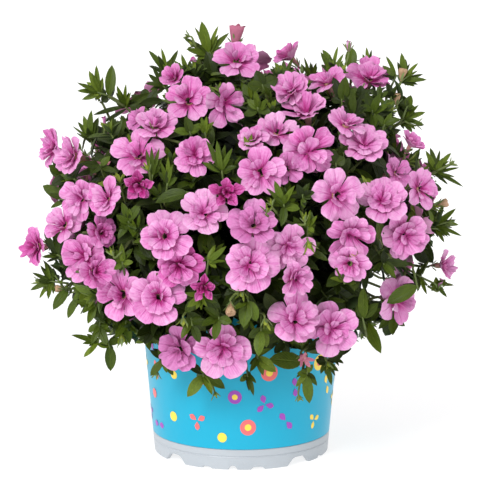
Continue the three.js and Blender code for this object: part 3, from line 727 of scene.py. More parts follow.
def axes(facing, spin):
    """Columns x, y and z of a frame whose z is facing, turned about it by spin radians."""
    side = np.cross(UP, facing)
    if np.linalg.norm(side) < 0.05:
        side = np.array((1.0, 0.0, 0.0))
    x = unit(side - facing * np.dot(side, facing))
    y = np.cross(facing, x)
    turned_x = x * math.cos(spin) + y * math.sin(spin)
    return np.stack((turned_x, np.cross(facing, turned_x), facing), axis=1)


def sideways(frame, turn):
    """The way square to the frame's z that is turned from its x by turn radians."""
    return frame[:, 0] * math.cos(turn) + frame[:, 1] * math.sin(turn)


def nearness(spot):
    """0 at the plane of the outline, 1 where the foliage comes nearest to the viewer."""
    return min(max(-spot[1] / NEAREST_FOLIAGE, 0.0), 1.0)


def clear_of_pot(point, room=5.0):
    """The point, moved straight out from the pot's axis until it is clear of the pot."""
    radius = math.hypot(point[0], point[1])
    least = outer_radius(min(point[2], POT_HEIGHT)) + RIM_PROUD + room
    if point[2] > POT_HEIGHT + room or radius >= least:
        return point
    return np.array((point[0] * least / radius, point[1] * least / radius, point[2]))


# ---- meshes ----


def even_turns(sides):
    return np.arange(sides) * (2 * math.pi / sides)


def point_numbers(rows, columns):
    return np.arange(rows * columns).reshape(rows, columns)


def run_round(grid):
    """The grid with its first column again at the end, so that its rows close."""
    return np.concatenate((grid, grid[:, :1]), axis=1)


def cells(grid):
    """The faces between the rows and columns of a grid of point numbers."""
    faces = np.stack((grid[:-1, :-1], grid[:-1, 1:], grid[1:, 1:], grid[1:, :-1]), -1)
    return faces.reshape(-1, 4)


@lru_cache(maxsize=None)
def sheet_pattern(across, along):
    """Faces of a thin closed sheet, front and back, and the border that both sides share."""
    front = point_numbers(along, across)
    back = front.copy()
    back[1:-1, 1:-1] = across * along + point_numbers(along - 2, across - 2)
    rim = np.concatenate((front[0], front[1:, -1], front[-1, -2::-1], front[-2:0:-1, 0]))
    return cells(front), cells(back)[:, ::-1], np.stack((rim, np.roll(rim, -1)), -1)


def round_paint(rows, sides, tone):
    """Paint for a round form: the way along it, the way around it and one tone."""
    paint = np.zeros((rows, sides, 4))
    paint[..., 0] = np.linspace(0, 1, rows)[:, None]
    paint[..., 1] = even_turns(sides) / (2 * math.pi)
    paint[..., 2] = tone
    return paint


class Growth:
    """Thin sheets, stems and turned forms, gathered into the mesh of one piece."""

    def __init__(self):
        self.points = []
        self.paint = []
        self.faces = {3: [], 4: []}
        self.slots = {3: [], 4: []}
        self.creases = []
        self.count = 0

    def add_points(self, points, paint):
        first = self.count
        self.points.append(points)
        self.paint.append(np.broadcast_to(paint, (len(points), 4)))
        self.count += len(points)
        return first

    def add_faces(self, faces, slot):
        sides = faces.shape[1]
        self.faces[sides].append(faces)
        self.slots[sides].append(np.full(len(faces), slot))

    def sheet(self, points, paint, thickness, front, back):
        """A blade from a grid of points, along by across by 3, and paint alike."""
        along, across = points.shape[:2]
        rise = np.gradient(points, axis=0)
        run = np.gradient(points, axis=1)
        normal = np.cross(run, rise)
        normal /= np.maximum(np.linalg.norm(normal, axis=2, keepdims=True), 1e-9)
        behind = (points - normal * thickness)[1:-1, 1:-1]
        first = self.add_points(
            np.concatenate((points.reshape(-1, 3), behind.reshape(-1, 3))),
            np.concatenate((paint.reshape(-1, 4), paint[1:-1, 1:-1].reshape(-1, 4))),
        )
        front_faces, back_faces, edges = sheet_pattern(across, along)
        self.add_faces(front_faces + first, front)
        self.add_faces(back_faces + first, back)
        self.creases.append(edges + first)

    def rings(self, rings, paint, slots=0):
        """A skin over rings of points, rows by sides by 3, with both ends closed by a fan.

        slots is one slot, or one for each band between two rings.
        """
        rows, sides = rings.shape[:2]
        bands = np.broadcast_to(slots, rows - 1)
        first = self.add_points(rings.reshape(-1, 3), paint.reshape(-1, 4))
        grid = run_round(point_numbers(rows, sides)) + first
        self.add_faces(cells(grid), np.repeat(bands, sides))
        for row, turn in ((0, -1), (rows - 1, 1)):
            centre = self.add_points(rings[row].mean(0)[None], paint[row, :1])
            fan = np.stack((grid[row, :-1], grid[row, 1:], np.full(sides, centre)), -1)
            self.add_faces(fan[:, ::turn], bands[min(row, rows - 2)])

    def stem(self, points, radii, sides, tone, slot):
        """A round stem along points, with a radius at each."""
        tangents = np.gradient(points, axis=0)
        tangents /= np.maximum(np.linalg.norm(tangents, axis=1, keepdims=True), 1e-9)
        side = np.cross(tangents[0], UP if abs(tangents[0][2]) < 0.9 else (1.0, 0.0, 0.0))
        cosines, sines = np.cos(even_turns(sides))[:, None], np.sin(even_turns(sides))[:, None]
        rings = []
        for point, tangent, radius in zip(points, tangents, radii):
            side = unit(side - tangent * np.dot(side, tangent))
            rings.append(point + radius * (cosines * side + sines * np.cross(tangent, side)))
        self.rings(np.array(rings), round_paint(len(points), sides, tone), slot)

    def turned(self, profile, sides, frame, origin, tone, slots=0):
        """A form turned about the frame's z from radius and height pairs."""
        turns = even_turns(sides)
        profile = np.array(profile, float)
        radii, heights = profile[:, :1], np.repeat(profile[:, 1:], sides, axis=1)
        local = np.stack((radii * np.cos(turns), radii * np.sin(turns), heights), -1)
        paint = round_paint(len(profile), sides, tone)
        self.rings(local @ frame.T + origin, paint, slots)

    def make(self, name, finishes, slot, replaced=(), smooth_angle=None):
        points = np.concatenate(self.points) * MILLIMETRE
        faces = {sides: np.concatenate(f) for sides, f in self.faces.items() if f}
        slots = np.concatenate([s for sides in faces for s in self.slots[sides]])
        corners = np.concatenate([f.ravel() for f in faces.values()])
        sizes = np.concatenate([np.full(len(f), sides) for sides, f in faces.items()])
        mesh = bpy.data.meshes.new(name)
        mesh.vertices.add(len(points))
        mesh.vertices.foreach_set("co", points.astype(np.float32).ravel())
        mesh.loops.add(len(corners))
        mesh.loops.foreach_set("vertex_index", corners.astype(np.int32))
        mesh.polygons.add(len(sizes))
        starts = np.concatenate(([0], np.cumsum(sizes)[:-1]))
        mesh.polygons.foreach_set("loop_start", starts.astype(np.int32))
        mesh.polygons.foreach_set("material_index", slots.astype(np.int32))
        mesh.polygons.foreach_set("use_smooth", np.ones(len(sizes), bool))
        mesh.update(calc_edges=True)
        paint = mesh.attributes.new("paint", "FLOAT_COLOR", "POINT")
        paint.data.foreach_set("color", np.concatenate(self.paint).astype(np.float32).ravel())
        if self.creases:
            self.mark_creases(mesh)
        if smooth_angle is not None:
            mesh.set_sharp_from_angle(angle=math.radians(smooth_angle))
        for finish in finishes:
            mesh.materials.append(finish)
        piece = bpy.data.objects.new(name, mesh)
        bpy.context.scene.collection.objects.link(piece)
        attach(piece, "root")
        if replaced:
            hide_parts(*replaced)
        return piece

    def mark_creases(self, mesh):
        ends = np.empty(len(mesh.edges) * 2, np.int32)
        mesh.edges.foreach_get("vertices", ends)
        ends = np.sort(ends.reshape(-1, 2).astype(np.int64), axis=1)
        marked = np.sort(np.concatenate(self.creases).astype(np.int64), axis=1)
        keys = ends[:, 0] * self.count + ends[:, 1]
        wanted = marked[:, 0] * self.count + marked[:, 1]
        sharp = mesh.attributes.new("sharp_edge", "BOOLEAN", "EDGE")
        sharp.data.foreach_set("value", np.isin(keys, wanted))


# ---- blades: petals and leaves ----


PETAL_THICKNESS = 0.35
LEAF_THICKNESS = 0.4

# Width of a petal where it starts, as a share of its widest.
NECK = 0.36


def blade_grid(across, along):
    u, v = np.meshgrid(np.linspace(-1, 1, across), np.linspace(0, 1, along))
    return u, v


def smooth(share):
    share = np.clip(share, 0, 1)
    return share * share * (3 - 2 * share)


@dataclass
class Petal:
    """The outline and the bend of one petal: its measures, then shares of its length."""

    length: float
    half_width: float
    base: float
    depth: float
    lift: float
    cup: float
    fold: float
    curl: float
    twist: float
    wave: float
    phase: float
    lean: float
    notch: float
    pointed: float
    ripple: float
    skew: float

    def surface(self, across, along):
        """Points with y outwards and z up, and the share of the length at each."""
        u, v = np.meshgrid(
            np.sin(np.linspace(-math.pi / 2, math.pi / 2, across)), np.linspace(0, 1, along)
        )
        away = np.abs(u)
        end = (
            1
            - self.half_width / self.length * (1 - (1 - away ** 2.2 * 0.999) ** 0.454)
            - self.pointed * away ** 1.2
            - self.notch * np.exp(-((u / 0.24) ** 2))
            + self.ripple * np.sin(6.3 * u + 2 * self.phase)
            + self.ripple * 0.6 * np.sin(11 * u + self.phase)
        )
        share = v * (1 + (end - 1) * v * v)
        reach = self.length - self.base
        half = self.half_width * (NECK + (1 - NECK) * smooth(v / 0.78))
        half = half * (1 + self.skew * u + self.ripple * np.sin(8 * v + self.phase + u))
        x = u * half * (1 - 0.3 * self.fold * share - 0.12 * abs(self.cup) * share)
        x = x + self.length * self.lean * share ** 2
        y = self.base + reach * share
        z = (
            -self.depth * np.maximum(1 - share, 0) ** 1.7
            + self.length
            * (
                self.lift * share
                + self.cup * u * u * share ** 2
                + self.fold * away * share
                + self.curl * share ** 3
                + self.twist * u * share
                + self.wave * np.sin(2.9 * math.pi * u + self.phase) * (share ** 3 + 0.25 * share)
                + self.wave * away ** 2 * np.sin(9 * share + self.phase) * share
                + self.wave * 0.6 * np.sin(5 * share + 3 * u + 2 * self.phase) * share
                - 0.03 * np.exp(-((u / 0.18) ** 2)) * np.sin(math.pi * share)
            )
        )
        y = y - self.length * 0.25 * self.lift ** 2 * share
        return np.stack((x, y, z), -1), share


def add_petal(growth, petal, turn, frame, origin, tone, fading, grid, shift=(0.0, 0.0)):
    points, share = petal.surface(*grid)
    c, s = math.cos(turn), math.sin(turn)
    x = points[..., 0] * c - points[..., 1] * s + shift[0]
    y = points[..., 0] * s + points[..., 1] * c + shift[1]
    placed = np.stack((x, y, points[..., 2]), -1) @ frame.T + origin
    across = np.broadcast_to(np.linspace(0, 1, grid[0]), share.shape)
    paint = np.stack(
        (share, across, np.full_like(share, tone), np.full_like(share, fading)), -1
    )
    growth.sheet(placed, paint, PETAL_THICKNESS, PETAL_FRONT, PETAL_BACK)


def leaf_points(length, width, fold, droop, twist, across, along):
    """A leaf along y with its upper side towards z, elliptic and drawn to a point."""
    u, v = blade_grid(across, along)
    outline = np.sin(math.pi * np.clip(v, 0.0, 1.0) ** 0.92) ** 0.78
    half = width / 2 * (0.06 + 0.94 * outline) * (1 - 0.92 * smooth((v - 0.93) / 0.07))
    turn = twist * (v - 0.2)
    x = u * half * math.cos(fold)
    z = np.abs(u) * half * math.sin(fold)
    bend = droop * v
    y = length * np.where(abs(droop) > 1e-3, np.sin(bend) / (droop + 1e-9), v)
    down = length * np.where(abs(droop) > 1e-3, (1 - np.cos(bend)) / (droop + 1e-9), 0)
    xt = x * np.cos(turn) - z * np.sin(turn)
    zt = x * np.sin(turn) + z * np.cos(turn)
    return np.stack((xt, y + zt * np.sin(bend), zt * np.cos(bend) - down), -1), v


def add_leaf(growth, base, along_way, upper, length, width, tone, rng, grid, slots):
    """One leaf from its base; slots are those of the upper side and the underside."""
    y = unit(along_way)
    z = upper - y * np.dot(upper, y)
    z = unit(z) if np.linalg.norm(z) > 1e-3 else unit(np.cross(y, (0.3, 0.5, 0.8)))
    frame = np.stack((np.cross(y, z), y, z), axis=1)
    fold, droop, twist = rng.uniform(0.05, 0.4), rng.uniform(-0.2, 0.7), rng.uniform(-0.4, 0.4)
    points, v = leaf_points(length, width, fold, droop, twist, *grid)
    across = np.broadcast_to(np.linspace(0, 1, grid[0]), v.shape)
    paint = np.stack((v, across, np.full_like(v, tone), np.zeros_like(v)), -1)
    growth.sheet(points @ frame.T + base, paint, LEAF_THICKNESS, *slots)


# ---- blooms ----

PETAL_FRONT, PETAL_BACK, THROAT, TUBE, SEPAL, SEPAL_BACK = range(6)
LOBES = 5
TUBE_SHARE = 1.05
FINE_GRIDS = ((11, 9), (9, 7), (7, 6))
PLAIN_GRIDS = ((7, 6), (7, 5), (5, 5))
TONES = {"pale": 0.14, "deep": 0.34, "young": 0.52, "fading": 0.24}
FADING = {"pale": 0.0, "deep": 0.0, "young": 0.0, "fading": 0.5}

# Each whorl of a habit: the number of petals, then the limits of their length and half-width
# as shares of the bloom's radius, and of their lift, cup, fold, curl, wave and notch.
OUTER = (5, (0.96, 1.09), (0.41, 0.49), (-0.05, 0.12), (-0.16, 0.12), (0.0, 0.05), (-0.24, 0.0),
         (0.015, 0.055), (0.0, 0.1))
HABITS = {
    "open": [
        OUTER,
        (3, (0.46, 0.72), (0.2, 0.32), (0.1, 0.5), (-0.1, 0.26), (0.0, 0.26), (-0.34, 0.08),
         (0.02, 0.06), (0.0, 0.12)),
        (2, (0.28, 0.42), (0.13, 0.2), (0.4, 0.9), (0.1, 0.4), (0.0, 0.4), (-0.5, 0.2),
         (0.03, 0.08), (0.0, 0.12)),
    ],
    "full": [
        OUTER,
        (5, (0.6, 0.82), (0.27, 0.36), (0.1, 0.36), (-0.1, 0.2), (0.0, 0.12), (-0.3, 0.02),
         (0.015, 0.05), (0.0, 0.12)),
        (3, (0.34, 0.5), (0.15, 0.24), (0.3, 0.8), (0.05, 0.4), (0.0, 0.35), (-0.5, 0.15),
         (0.03, 0.08), (0.0, 0.12)),
    ],
    "tumbled": [
        (5, (0.84, 1.1), (0.36, 0.48), (-0.12, 0.22), (-0.2, 0.2), (0.0, 0.12), (-0.34, 0.1),
         (0.02, 0.055), (0.0, 0.12)),
        (4, (0.5, 0.96), (0.26, 0.4), (0.08, 0.56), (-0.16, 0.34), (0.0, 0.36), (-0.4, 0.14),
         (0.02, 0.07), (0.0, 0.14)),
        (3, (0.34, 0.56), (0.16, 0.26), (0.35, 1.0), (0.0, 0.5), (0.0, 0.5), (-0.6, 0.25),
         (0.03, 0.09), (0.0, 0.12)),
    ],
    "cup": [
        OUTER,
        (5, (0.58, 0.72), (0.3, 0.38), (0.3, 0.46), (0.0, 0.16), (0.0, 0.08), (-0.36, -0.18),
         (0.01, 0.04), (0.0, 0.1)),
        (2, (0.24, 0.36), (0.12, 0.2), (0.5, 0.9), (0.1, 0.4), (0.0, 0.3), (-0.4, 0.1),
         (0.03, 0.07), (0.0, 0.1)),
    ],
    "funnel": [
        (5, (0.96, 1.08), (0.42, 0.5), (0.26, 0.5), (-0.1, 0.16), (0.0, 0.1), (-0.28, 0.0),
         (0.015, 0.05), (0.0, 0.1)),
        (4, (0.6, 0.78), (0.24, 0.34), (0.45, 0.8), (0.0, 0.25), (0.0, 0.26), (-0.3, 0.05),
         (0.02, 0.06), (0.0, 0.1)),
        (2, (0.34, 0.46), (0.14, 0.22), (0.7, 1.0), (0.1, 0.3), (0.0, 0.3), (-0.3, 0.1),
         (0.03, 0.08), (0.0, 0.1)),
    ],
    "star": [
        (5, (0.8, 1.12), (0.28, 0.38), (0.05, 0.45), (0.0, 0.3), (0.15, 0.5), (-0.3, 0.1),
         (0.03, 0.08), (0.0, 0.0)),
        (4, (0.5, 0.8), (0.2, 0.3), (0.3, 0.8), (0.05, 0.4), (0.15, 0.5), (-0.4, 0.1),
         (0.04, 0.1), (0.0, 0.0)),
        (3, (0.34, 0.5), (0.13, 0.2), (0.6, 1.0), (0.1, 0.4), (0.1, 0.5), (-0.4, 0.1),
         (0.04, 0.1), (0.0, 0.0)),
    ],
}
WHORL_DEPTHS = (0.34, 0.26, 0.23)
WHORL_BASES = (0.1, 0.09, 0.08)
WHORL_LOOSENESS = (0.05, 0.12, 0.3)
CLOSED_HEARTS = ("full", "tumbled", "star")

# Radius and height of the throat, going up, and of the tube, going down, in the same shares.
THROAT_AND_TUBE = [
    (0.02, -0.5), (0.07, -0.38), (0.12, -0.25), (0.155, -0.2), (0.17, -0.26),
    (0.155, -0.5), (0.11, -0.78), (0.085, -0.98), (0.075, -1.05), (0.02, -1.05),
]


class Bloom:
    """Where a bloom sits, which way it faces and how open it is."""

    def __init__(
        self, azimuth, height, diameter, face_azimuth, face_height, colour, habit, lobe, share=1.0
    ):
        self.centre = dome_point(azimuth, height, share)
        self.facing = direction(face_azimuth, face_height)
        self.radius = diameter / 2
        self.colour = colour
        self.habit = habit
        self.lobe = lobe

    @property
    def foot(self):
        return self.centre - self.facing * self.radius * TUBE_SHARE

    def rim(self, share):
        turns = even_turns(16)
        circle = np.stack((np.cos(turns), np.sin(turns), np.zeros(16)), -1)
        return circle * self.radius * share @ axes(self.facing, 0).T + self.centre

    def spots(self):
        return self.centre, *self.rim(0.5), *self.rim(1.0)

    def within_outline(self, room):
        return all(within_outline(spot, room) for spot in self.rim(1.0))

    def crosses(self, other):
        return self.cuts(other) or other.cuts(self)

    def cuts(self, other):
        """Whether this bloom's disc passes through the other's."""
        if np.linalg.norm(self.centre - other.centre) > self.radius + other.radius:
            return False
        spots = np.concatenate([self.rim(share) for share in (0.3, 0.6, 0.92)]) - other.centre
        heights = spots @ other.facing
        within = np.linalg.norm(spots - heights[:, None] * other.facing, axis=1)
        near = heights[within < other.radius * 0.92]
        return len(near) > 0 and near.min() < 2.2 and near.max() > -2.2

    def add_to(self, growth, rng, fine):
        frame = axes(self.facing, -math.radians(self.lobe))
        grids = FINE_GRIDS if fine else PLAIN_GRIDS
        way = rng.choice((-1, 1))
        tilt = rng.uniform(0, 2 * math.pi)
        shift = np.zeros(2)
        turn = 0.0
        for whorl, grid in enumerate(grids):
            self.add_whorl(growth, rng, frame, whorl, grid, way, tilt, turn, shift)
            turn += math.pi / LOBES + rng.uniform(-0.2, 0.2)
            shift = shift + np.array((rng.uniform(-0.08, 0.08), rng.uniform(-0.08, 0.08)))
        self.add_tube(growth, rng, frame)

    def add_whorl(self, growth, rng, frame, whorl, grid, way, tilt, first, shift):
        radius = self.radius
        count, length, width, lift, *bends = HABITS[self.habit][whorl]
        tone = TONES[self.colour] + rng.uniform(-0.07, 0.09) + 0.03 * whorl
        pointed = 0.26 if self.habit == "star" else 0.0
        loose = WHORL_LOOSENESS[whorl]
        base = 0.0 if whorl == 2 and self.habit in CLOSED_HEARTS else WHORL_BASES[whorl]
        for lobe in range(count):
            turn = first + (lobe + rng.uniform(-loose, loose)) * 2 * math.pi / count
            cup, fold, curl, wave, notch = (rng.uniform(*bend) for bend in bends)
            petal = Petal(
                length=radius * rng.uniform(*length),
                half_width=radius * rng.uniform(*width),
                base=radius * base,
                depth=radius * WHORL_DEPTHS[whorl],
                lift=rng.uniform(*lift) + (0.05 + 0.06 * whorl) * math.cos(turn - tilt),
                cup=cup,
                fold=fold,
                curl=curl,
                twist=way * rng.uniform(0.04, 0.12),
                wave=wave,
                phase=rng.uniform(0, 6),
                lean=rng.uniform(-0.08, 0.08),
                notch=notch,
                pointed=pointed * rng.uniform(0.6, 1.3),
                ripple=rng.uniform(0.005, 0.02),
                skew=rng.uniform(-0.14, 0.14),
            )
            add_petal(
                growth, petal, turn, frame, self.centre, tone + rng.uniform(-0.08, 0.1),
                FADING[self.colour], grid, shift * radius,
            )

    def add_tube(self, growth, rng, frame):
        radius = self.radius
        growth.turned(
            [(r * radius, z * radius) for r, z in THROAT_AND_TUBE],
            10, frame, self.centre, rng.random(), [THROAT] * 3 + [TUBE] * 6,
        )
        base = self.centre - self.facing * radius
        for sepal in range(LOBES):
            turn = (sepal + 0.5) * 2 * math.pi / LOBES + rng.uniform(-0.1, 0.1)
            out = sideways(frame, turn)
            way = unit(self.facing + out * rng.uniform(0.3, 0.7))
            add_leaf(
                growth, base + out * radius * 0.09, way, -out + self.facing * 0.2,
                radius * rng.uniform(0.45, 0.62), radius * 0.16,
                rng.uniform(0.6, 0.85), rng, (3, 5), (SEPAL, SEPAL_BACK),
            )


# ---- leafy shoots ----

LEAF_UPPER, LEAF_UNDER, STALK, BUD, SPENT = range(5)
LEAF_SIDES = LEAF_UPPER, LEAF_UNDER
GOLDEN_TURN = math.radians(137.5)


@dataclass
class Shoot:
    """A leafy shoot: foot and way, then length, numbers of leaves, their tone and length."""

    foot: np.ndarray
    facing: np.ndarray
    length: float
    broad: int
    narrow: int
    tone: float = 0.45
    leaf: float = 16.0

    @property
    def tip(self):
        return self.foot + self.facing * self.length * 0.72

    def within_outline(self):
        """Whether the tip and most of the leaves around it keep inside the outline."""
        frame = axes(self.facing, 0)
        ends = [
            self.tip + (self.facing * 0.6 + sideways(frame, turn)) * self.leaf * 0.6
            for turn in even_turns(8)
        ]
        return within_outline(self.tip, 2.0) and sum(within_outline(end) for end in ends) >= 4

    def add_to(self, growth, rng, allowed):
        frame = axes(self.facing, rng.uniform(0, 2 * math.pi))
        lean = frame[:, 0] * rng.uniform(-0.15, 0.15) + frame[:, 1] * rng.uniform(-0.15, 0.15)
        steps = np.linspace(0, 1, 5)[:, None]
        line = self.foot + (self.facing * steps + lean * steps ** 2) * self.length * 0.72
        growth.stem(line, np.linspace(0.85, 0.45, 5), 5, rng.uniform(0.4, 0.8), STALK)
        tip = line[-1]
        way_on = unit(self.facing + lean * 2)
        turn = rng.uniform(0, 2 * math.pi)
        for leaf in range(self.broad):
            share = (leaf + rng.uniform(0.2, 0.8)) / self.broad
            base = self.foot + (tip - self.foot) * (0.08 + 0.82 * share)
            turn += GOLDEN_TURN + rng.uniform(-0.3, 0.3)
            spread = math.radians(84 - 34 * share + rng.uniform(-14, 14))
            self.add_blade(
                growth, rng, allowed, frame, base, turn, spread,
                self.leaf * rng.uniform(0.85, 1.15), rng.uniform(0.42, 0.54),
                self.tone - 0.12 + 0.14 * share + rng.uniform(-0.1, 0.1), (5, 7),
            )
        for leaf in range(self.narrow):
            share = leaf / self.narrow
            turn += GOLDEN_TURN + rng.uniform(-0.2, 0.2)
            spread = math.radians(52 - 42 * share + rng.uniform(-8, 10))
            base = tip + way_on * (share - 0.5) * 2.5
            self.add_blade(
                growth, rng, allowed, frame, base, turn, spread,
                self.leaf * (0.74 - 0.3 * share) * rng.uniform(0.8, 1.15),
                rng.uniform(0.28, 0.4),
                self.tone + 0.1 + 0.2 * share + rng.uniform(-0.08, 0.1), (3, 6),
            )

    def add_blade(self, growth, rng, allowed, frame, base, turn, spread, length, slim, tone, grid):
        out = sideways(frame, turn)
        way = self.facing * math.cos(spread) + out * math.sin(spread)
        upper = self.facing * math.sin(spread) - out * math.cos(spread) + UP * 0.3
        tip = base + way * length
        if not closes_light_gap(base, tip) and allowed(base + way * length * 0.5, tip):
            add_leaf(
                growth, base + out * 0.4, way, upper, length, length * slim,
                min(max(tone, 0.05), 0.98), rng, grid, LEAF_SIDES,
            )


class Sprig:
    """Leaves that spring from one node, each with the way that it points."""

    def __init__(self, x, y, z, stem_way, stem_length, *leaves):
        self.node = np.array((x, y, z), float)
        self.nearer = nearness(self.node)
        foot = self.node + seen_way(stem_way, -0.9 * self.nearer) * stem_length
        self.foot = clear_of_pot(foot, 4.0)
        self.facing = unit(self.node - self.foot)
        self.leaves = [(turn, length, width, tone / 100) for turn, length, width, tone in leaves]

    def add_to(self, growth, rng):
        line = np.linspace(self.foot, self.node + self.facing, 5)
        growth.stem(line, np.linspace(0.8, 0.55, 5), 6, rng.uniform(0.3, 0.6), STALK)
        towards_viewer = unit(VIEWPOINT - self.node)
        for turn, length, width, tone in self.leaves:
            towards = rng.uniform(-0.3, 0.4) + 0.35 * self.nearer
            way = seen_way(turn, towards)
            base = self.node + self.facing * rng.uniform(-1.5, 0.8)
            upper = towards_viewer + UP * 0.5 + seen_way(rng.uniform(0, 360)) * 0.35
            add_leaf(
                growth, base, way, upper, length * np.linalg.norm(way) * 1.03,
                max(width * 0.9, 2.0), tone + rng.uniform(-0.12, 0.12), rng,
                (4, 7) if width < 6 else (5, 8), LEAF_SIDES,
            )
            for side in (-1, 1) if width < 6 else ():
                way = seen_way(turn + side * rng.uniform(9, 22), towards + rng.uniform(-0.4, 0.3))
                add_leaf(
                    growth, base - self.facing * rng.uniform(0, 2), way, upper,
                    length * rng.uniform(0.5, 0.95), max(width * 0.66, 1.7),
                    tone + rng.uniform(-0.25, 0.05), rng, (3, 7), LEAF_SIDES,
                )
        for _ in range(3 + len(self.leaves)):
            turn, length, *_ = rng.choice(self.leaves)
            way = seen_way(turn + rng.uniform(-16, 16), rng.uniform(-1.8, -0.4))
            length = rng.uniform(0.6, 0.9) * max(8.0, length)
            add_leaf(
                growth, self.node - self.facing * rng.uniform(0, 4), way, self.facing + UP * 0.6,
                length, length * rng.uniform(0.3, 0.45), rng.uniform(0.22, 0.45), rng, (3, 6),
                LEAF_SIDES,
            )


# Each kind of bud: its finish and tone, then in shares of its length the reach of its lobes and
# of its sepals, and its profile of radius and height.
BUD_FORMS = {
    "green": (LEAF_UPPER, 0.85, 0.0, 1.0,
              [(0.02, 0.0), (0.12, 0.08), (0.2, 0.25), (0.21, 0.42), (0.13, 0.6), (0.02, 0.68)]),
    "pink": (BUD, 0.3, 0.3, 0.5,
             [(0.02, 0.0), (0.07, 0.05), (0.09, 0.3), (0.13, 0.6), (0.18, 0.8), (0.13, 0.95),
              (0.02, 1.0)]),
    "pale": (BUD, -0.1, 0.22, 0.9,
             [(0.02, 0.0), (0.1, 0.05), (0.16, 0.3), (0.2, 0.6), (0.18, 0.8), (0.1, 0.95),
              (0.02, 1.0)]),
    "bell": (SPENT, 1.7, 0.3, 0.62,
             [(0.02, 0.0), (0.1, 0.05), (0.16, 0.2), (0.23, 0.45), (0.3, 0.72), (0.33, 0.9),
              (0.14, 0.84), (0.02, 0.8)]),
    "spent": (SPENT, 0.4, 0.32, 0.75,
              [(0.02, 0.0), (0.1, 0.05), (0.15, 0.25), (0.26, 0.5), (0.34, 0.75), (0.3, 0.92),
               (0.12, 0.8), (0.02, 0.74)]),
    "dried": (SPENT, 1.5, 0.62, 0.6,
              [(0.02, 0.0), (0.09, 0.05), (0.14, 0.25), (0.2, 0.5), (0.12, 0.56), (0.02, 0.5)]),
}
BUD_LOBE_STEP = 1.257


def add_bud(growth, rng, base, facing, length, kind):
    """A bud, a calyx or a spent bloom, held by its sepals."""
    frame = axes(facing, rng.uniform(0, 6))
    body, tone, lobe_reach, sepal_reach, profile = BUD_FORMS[kind]
    growth.turned(
        [(r * length, z * length) for r, z in profile], 8, frame, base,
        tone + rng.uniform(-0.08, 0.08), body,
    )
    spread = 1.5 if kind == "dried" else 1.0
    for lobe in range(LOBES if lobe_reach else 0):
        out = sideways(frame, lobe * BUD_LOBE_STEP + rng.uniform(-0.2, 0.2))
        add_leaf(
            growth, base + (facing * profile[-2][1] * 0.9 + out * 0.08) * length,
            unit(facing + out * rng.uniform(0.4, 1.3) * spread), facing - out * 0.5,
            length * lobe_reach * rng.uniform(0.8, 1.2), length * min(lobe_reach * 0.7, 0.24),
            tone + rng.uniform(-0.1, 0.15), rng, (3, 5), (body, body),
        )
    for sepal in range(LOBES):
        out = sideways(frame, (sepal + 0.5) * BUD_LOBE_STEP + rng.uniform(-0.15, 0.15))
        add_leaf(
            growth, base + out * 0.5, unit(facing + out * rng.uniform(0.25, 0.8)),
            facing * 0.3 - out, length * sepal_reach * rng.uniform(0.85, 1.2),
            max(1.3, length * sepal_reach * 0.24), rng.uniform(0.65, 0.9), rng, (3, 6),
            LEAF_SIDES,
        )


# ---- where everything grows ----


def own_blooms():
    blooms = [Bloom(*row) for row in FRONT_BLOOMS]
    for height, count, first, last in BACK_RINGS:
        for i in range(count):
            azimuth = first + (last - first) * i / max(1, count - 1)
            face = height * 0.8 + 8
            habit = ("full", "open", "tumbled", "cup")[(i + count) % 4]
            blooms.append(
                Bloom(azimuth, height, BACK_BLOOM_DIAMETER, azimuth, face, "pale", habit, 25 * i)
            )
    return blooms


def blooms_between(blooms):
    """The front blooms between those, moved along the line of sight until none cross."""
    placed = list(blooms)
    between = []
    for row in BLOOMS_BETWEEN:
        bloom = Bloom(*row)
        away = unit(bloom.centre - VIEWPOINT)
        start = bloom.centre
        for step in range(40):
            depth = (step + 1) // 2 * (2.0 if step % 2 else -2.0)
            bloom.centre = start + away * depth
            if not any(bloom.crosses(other) for other in placed):
                break
        placed.append(bloom)
        between.append(bloom)
    return between


def blooms_behind(blooms):
    """Further blooms on the sides and the back, wherever there is room."""
    rng = random.Random("blooms on the back")
    placed = list(blooms)
    behind = []
    for _ in range(BLOOM_TRIES):
        azimuth = rng.uniform(62, 298)
        height = rng.uniform(-46, 78)
        on_side = abs(azimuth - 180) > 87
        if rng.random() > math.cos(math.radians(height)) or on_side and height > 30:
            continue
        turned = min(max(azimuth + rng.uniform(-20, 20), 99), 261)
        facing = turned, height * 0.8 + 8 + rng.uniform(-14, 18)
        kind = *rng.choice(BACK_KINDS), rng.uniform(-36, 36)
        diameter = rng.uniform(26, 33)
        if kind[1] == "star":
            diameter *= 0.65
        outermost = 0.93 if height > 45 or on_side else rng.uniform(0.95, 1.03)
        for inwards in (0.0, 0.04, 0.08, 0.12, 0.16):
            bloom = Bloom(azimuth, height, diameter, *facing, *kind, outermost - inwards)
            if bloom.within_outline(11.0 if on_side else 5.0):
                break
        else:
            continue
        if all(
            np.linalg.norm(bloom.centre - other.centre) > (bloom.radius + other.radius) * 0.78
            and not bloom.crosses(other)
            for other in placed
        ):
            placed.append(bloom)
            behind.append(bloom)
        if len(behind) == BLOOMS_BEHIND:
            break
    return [bloom for bloom in behind if not any(map(in_light_gap, bloom.spots()))]


def seen_from_front(spot):
    """How far to the right of the dome's centre the spot is seen, and how far above it."""
    sight = spot - VIEWPOINT
    crossing = VIEWPOINT - sight * VIEWPOINT[1] / sight[1] - DOME_CENTRE
    return crossing[0], crossing[2]


def within_outline(spot, room=0.0):
    """Whether the spot keeps inside the dome's outline as seen from the front."""
    across, up = seen_from_front(spot)
    reach = np.interp(math.degrees(math.atan2(across, up)) % 360, OUTLINE_TURNS, OUTLINE_REACH)
    return math.hypot(across, up) < reach - room


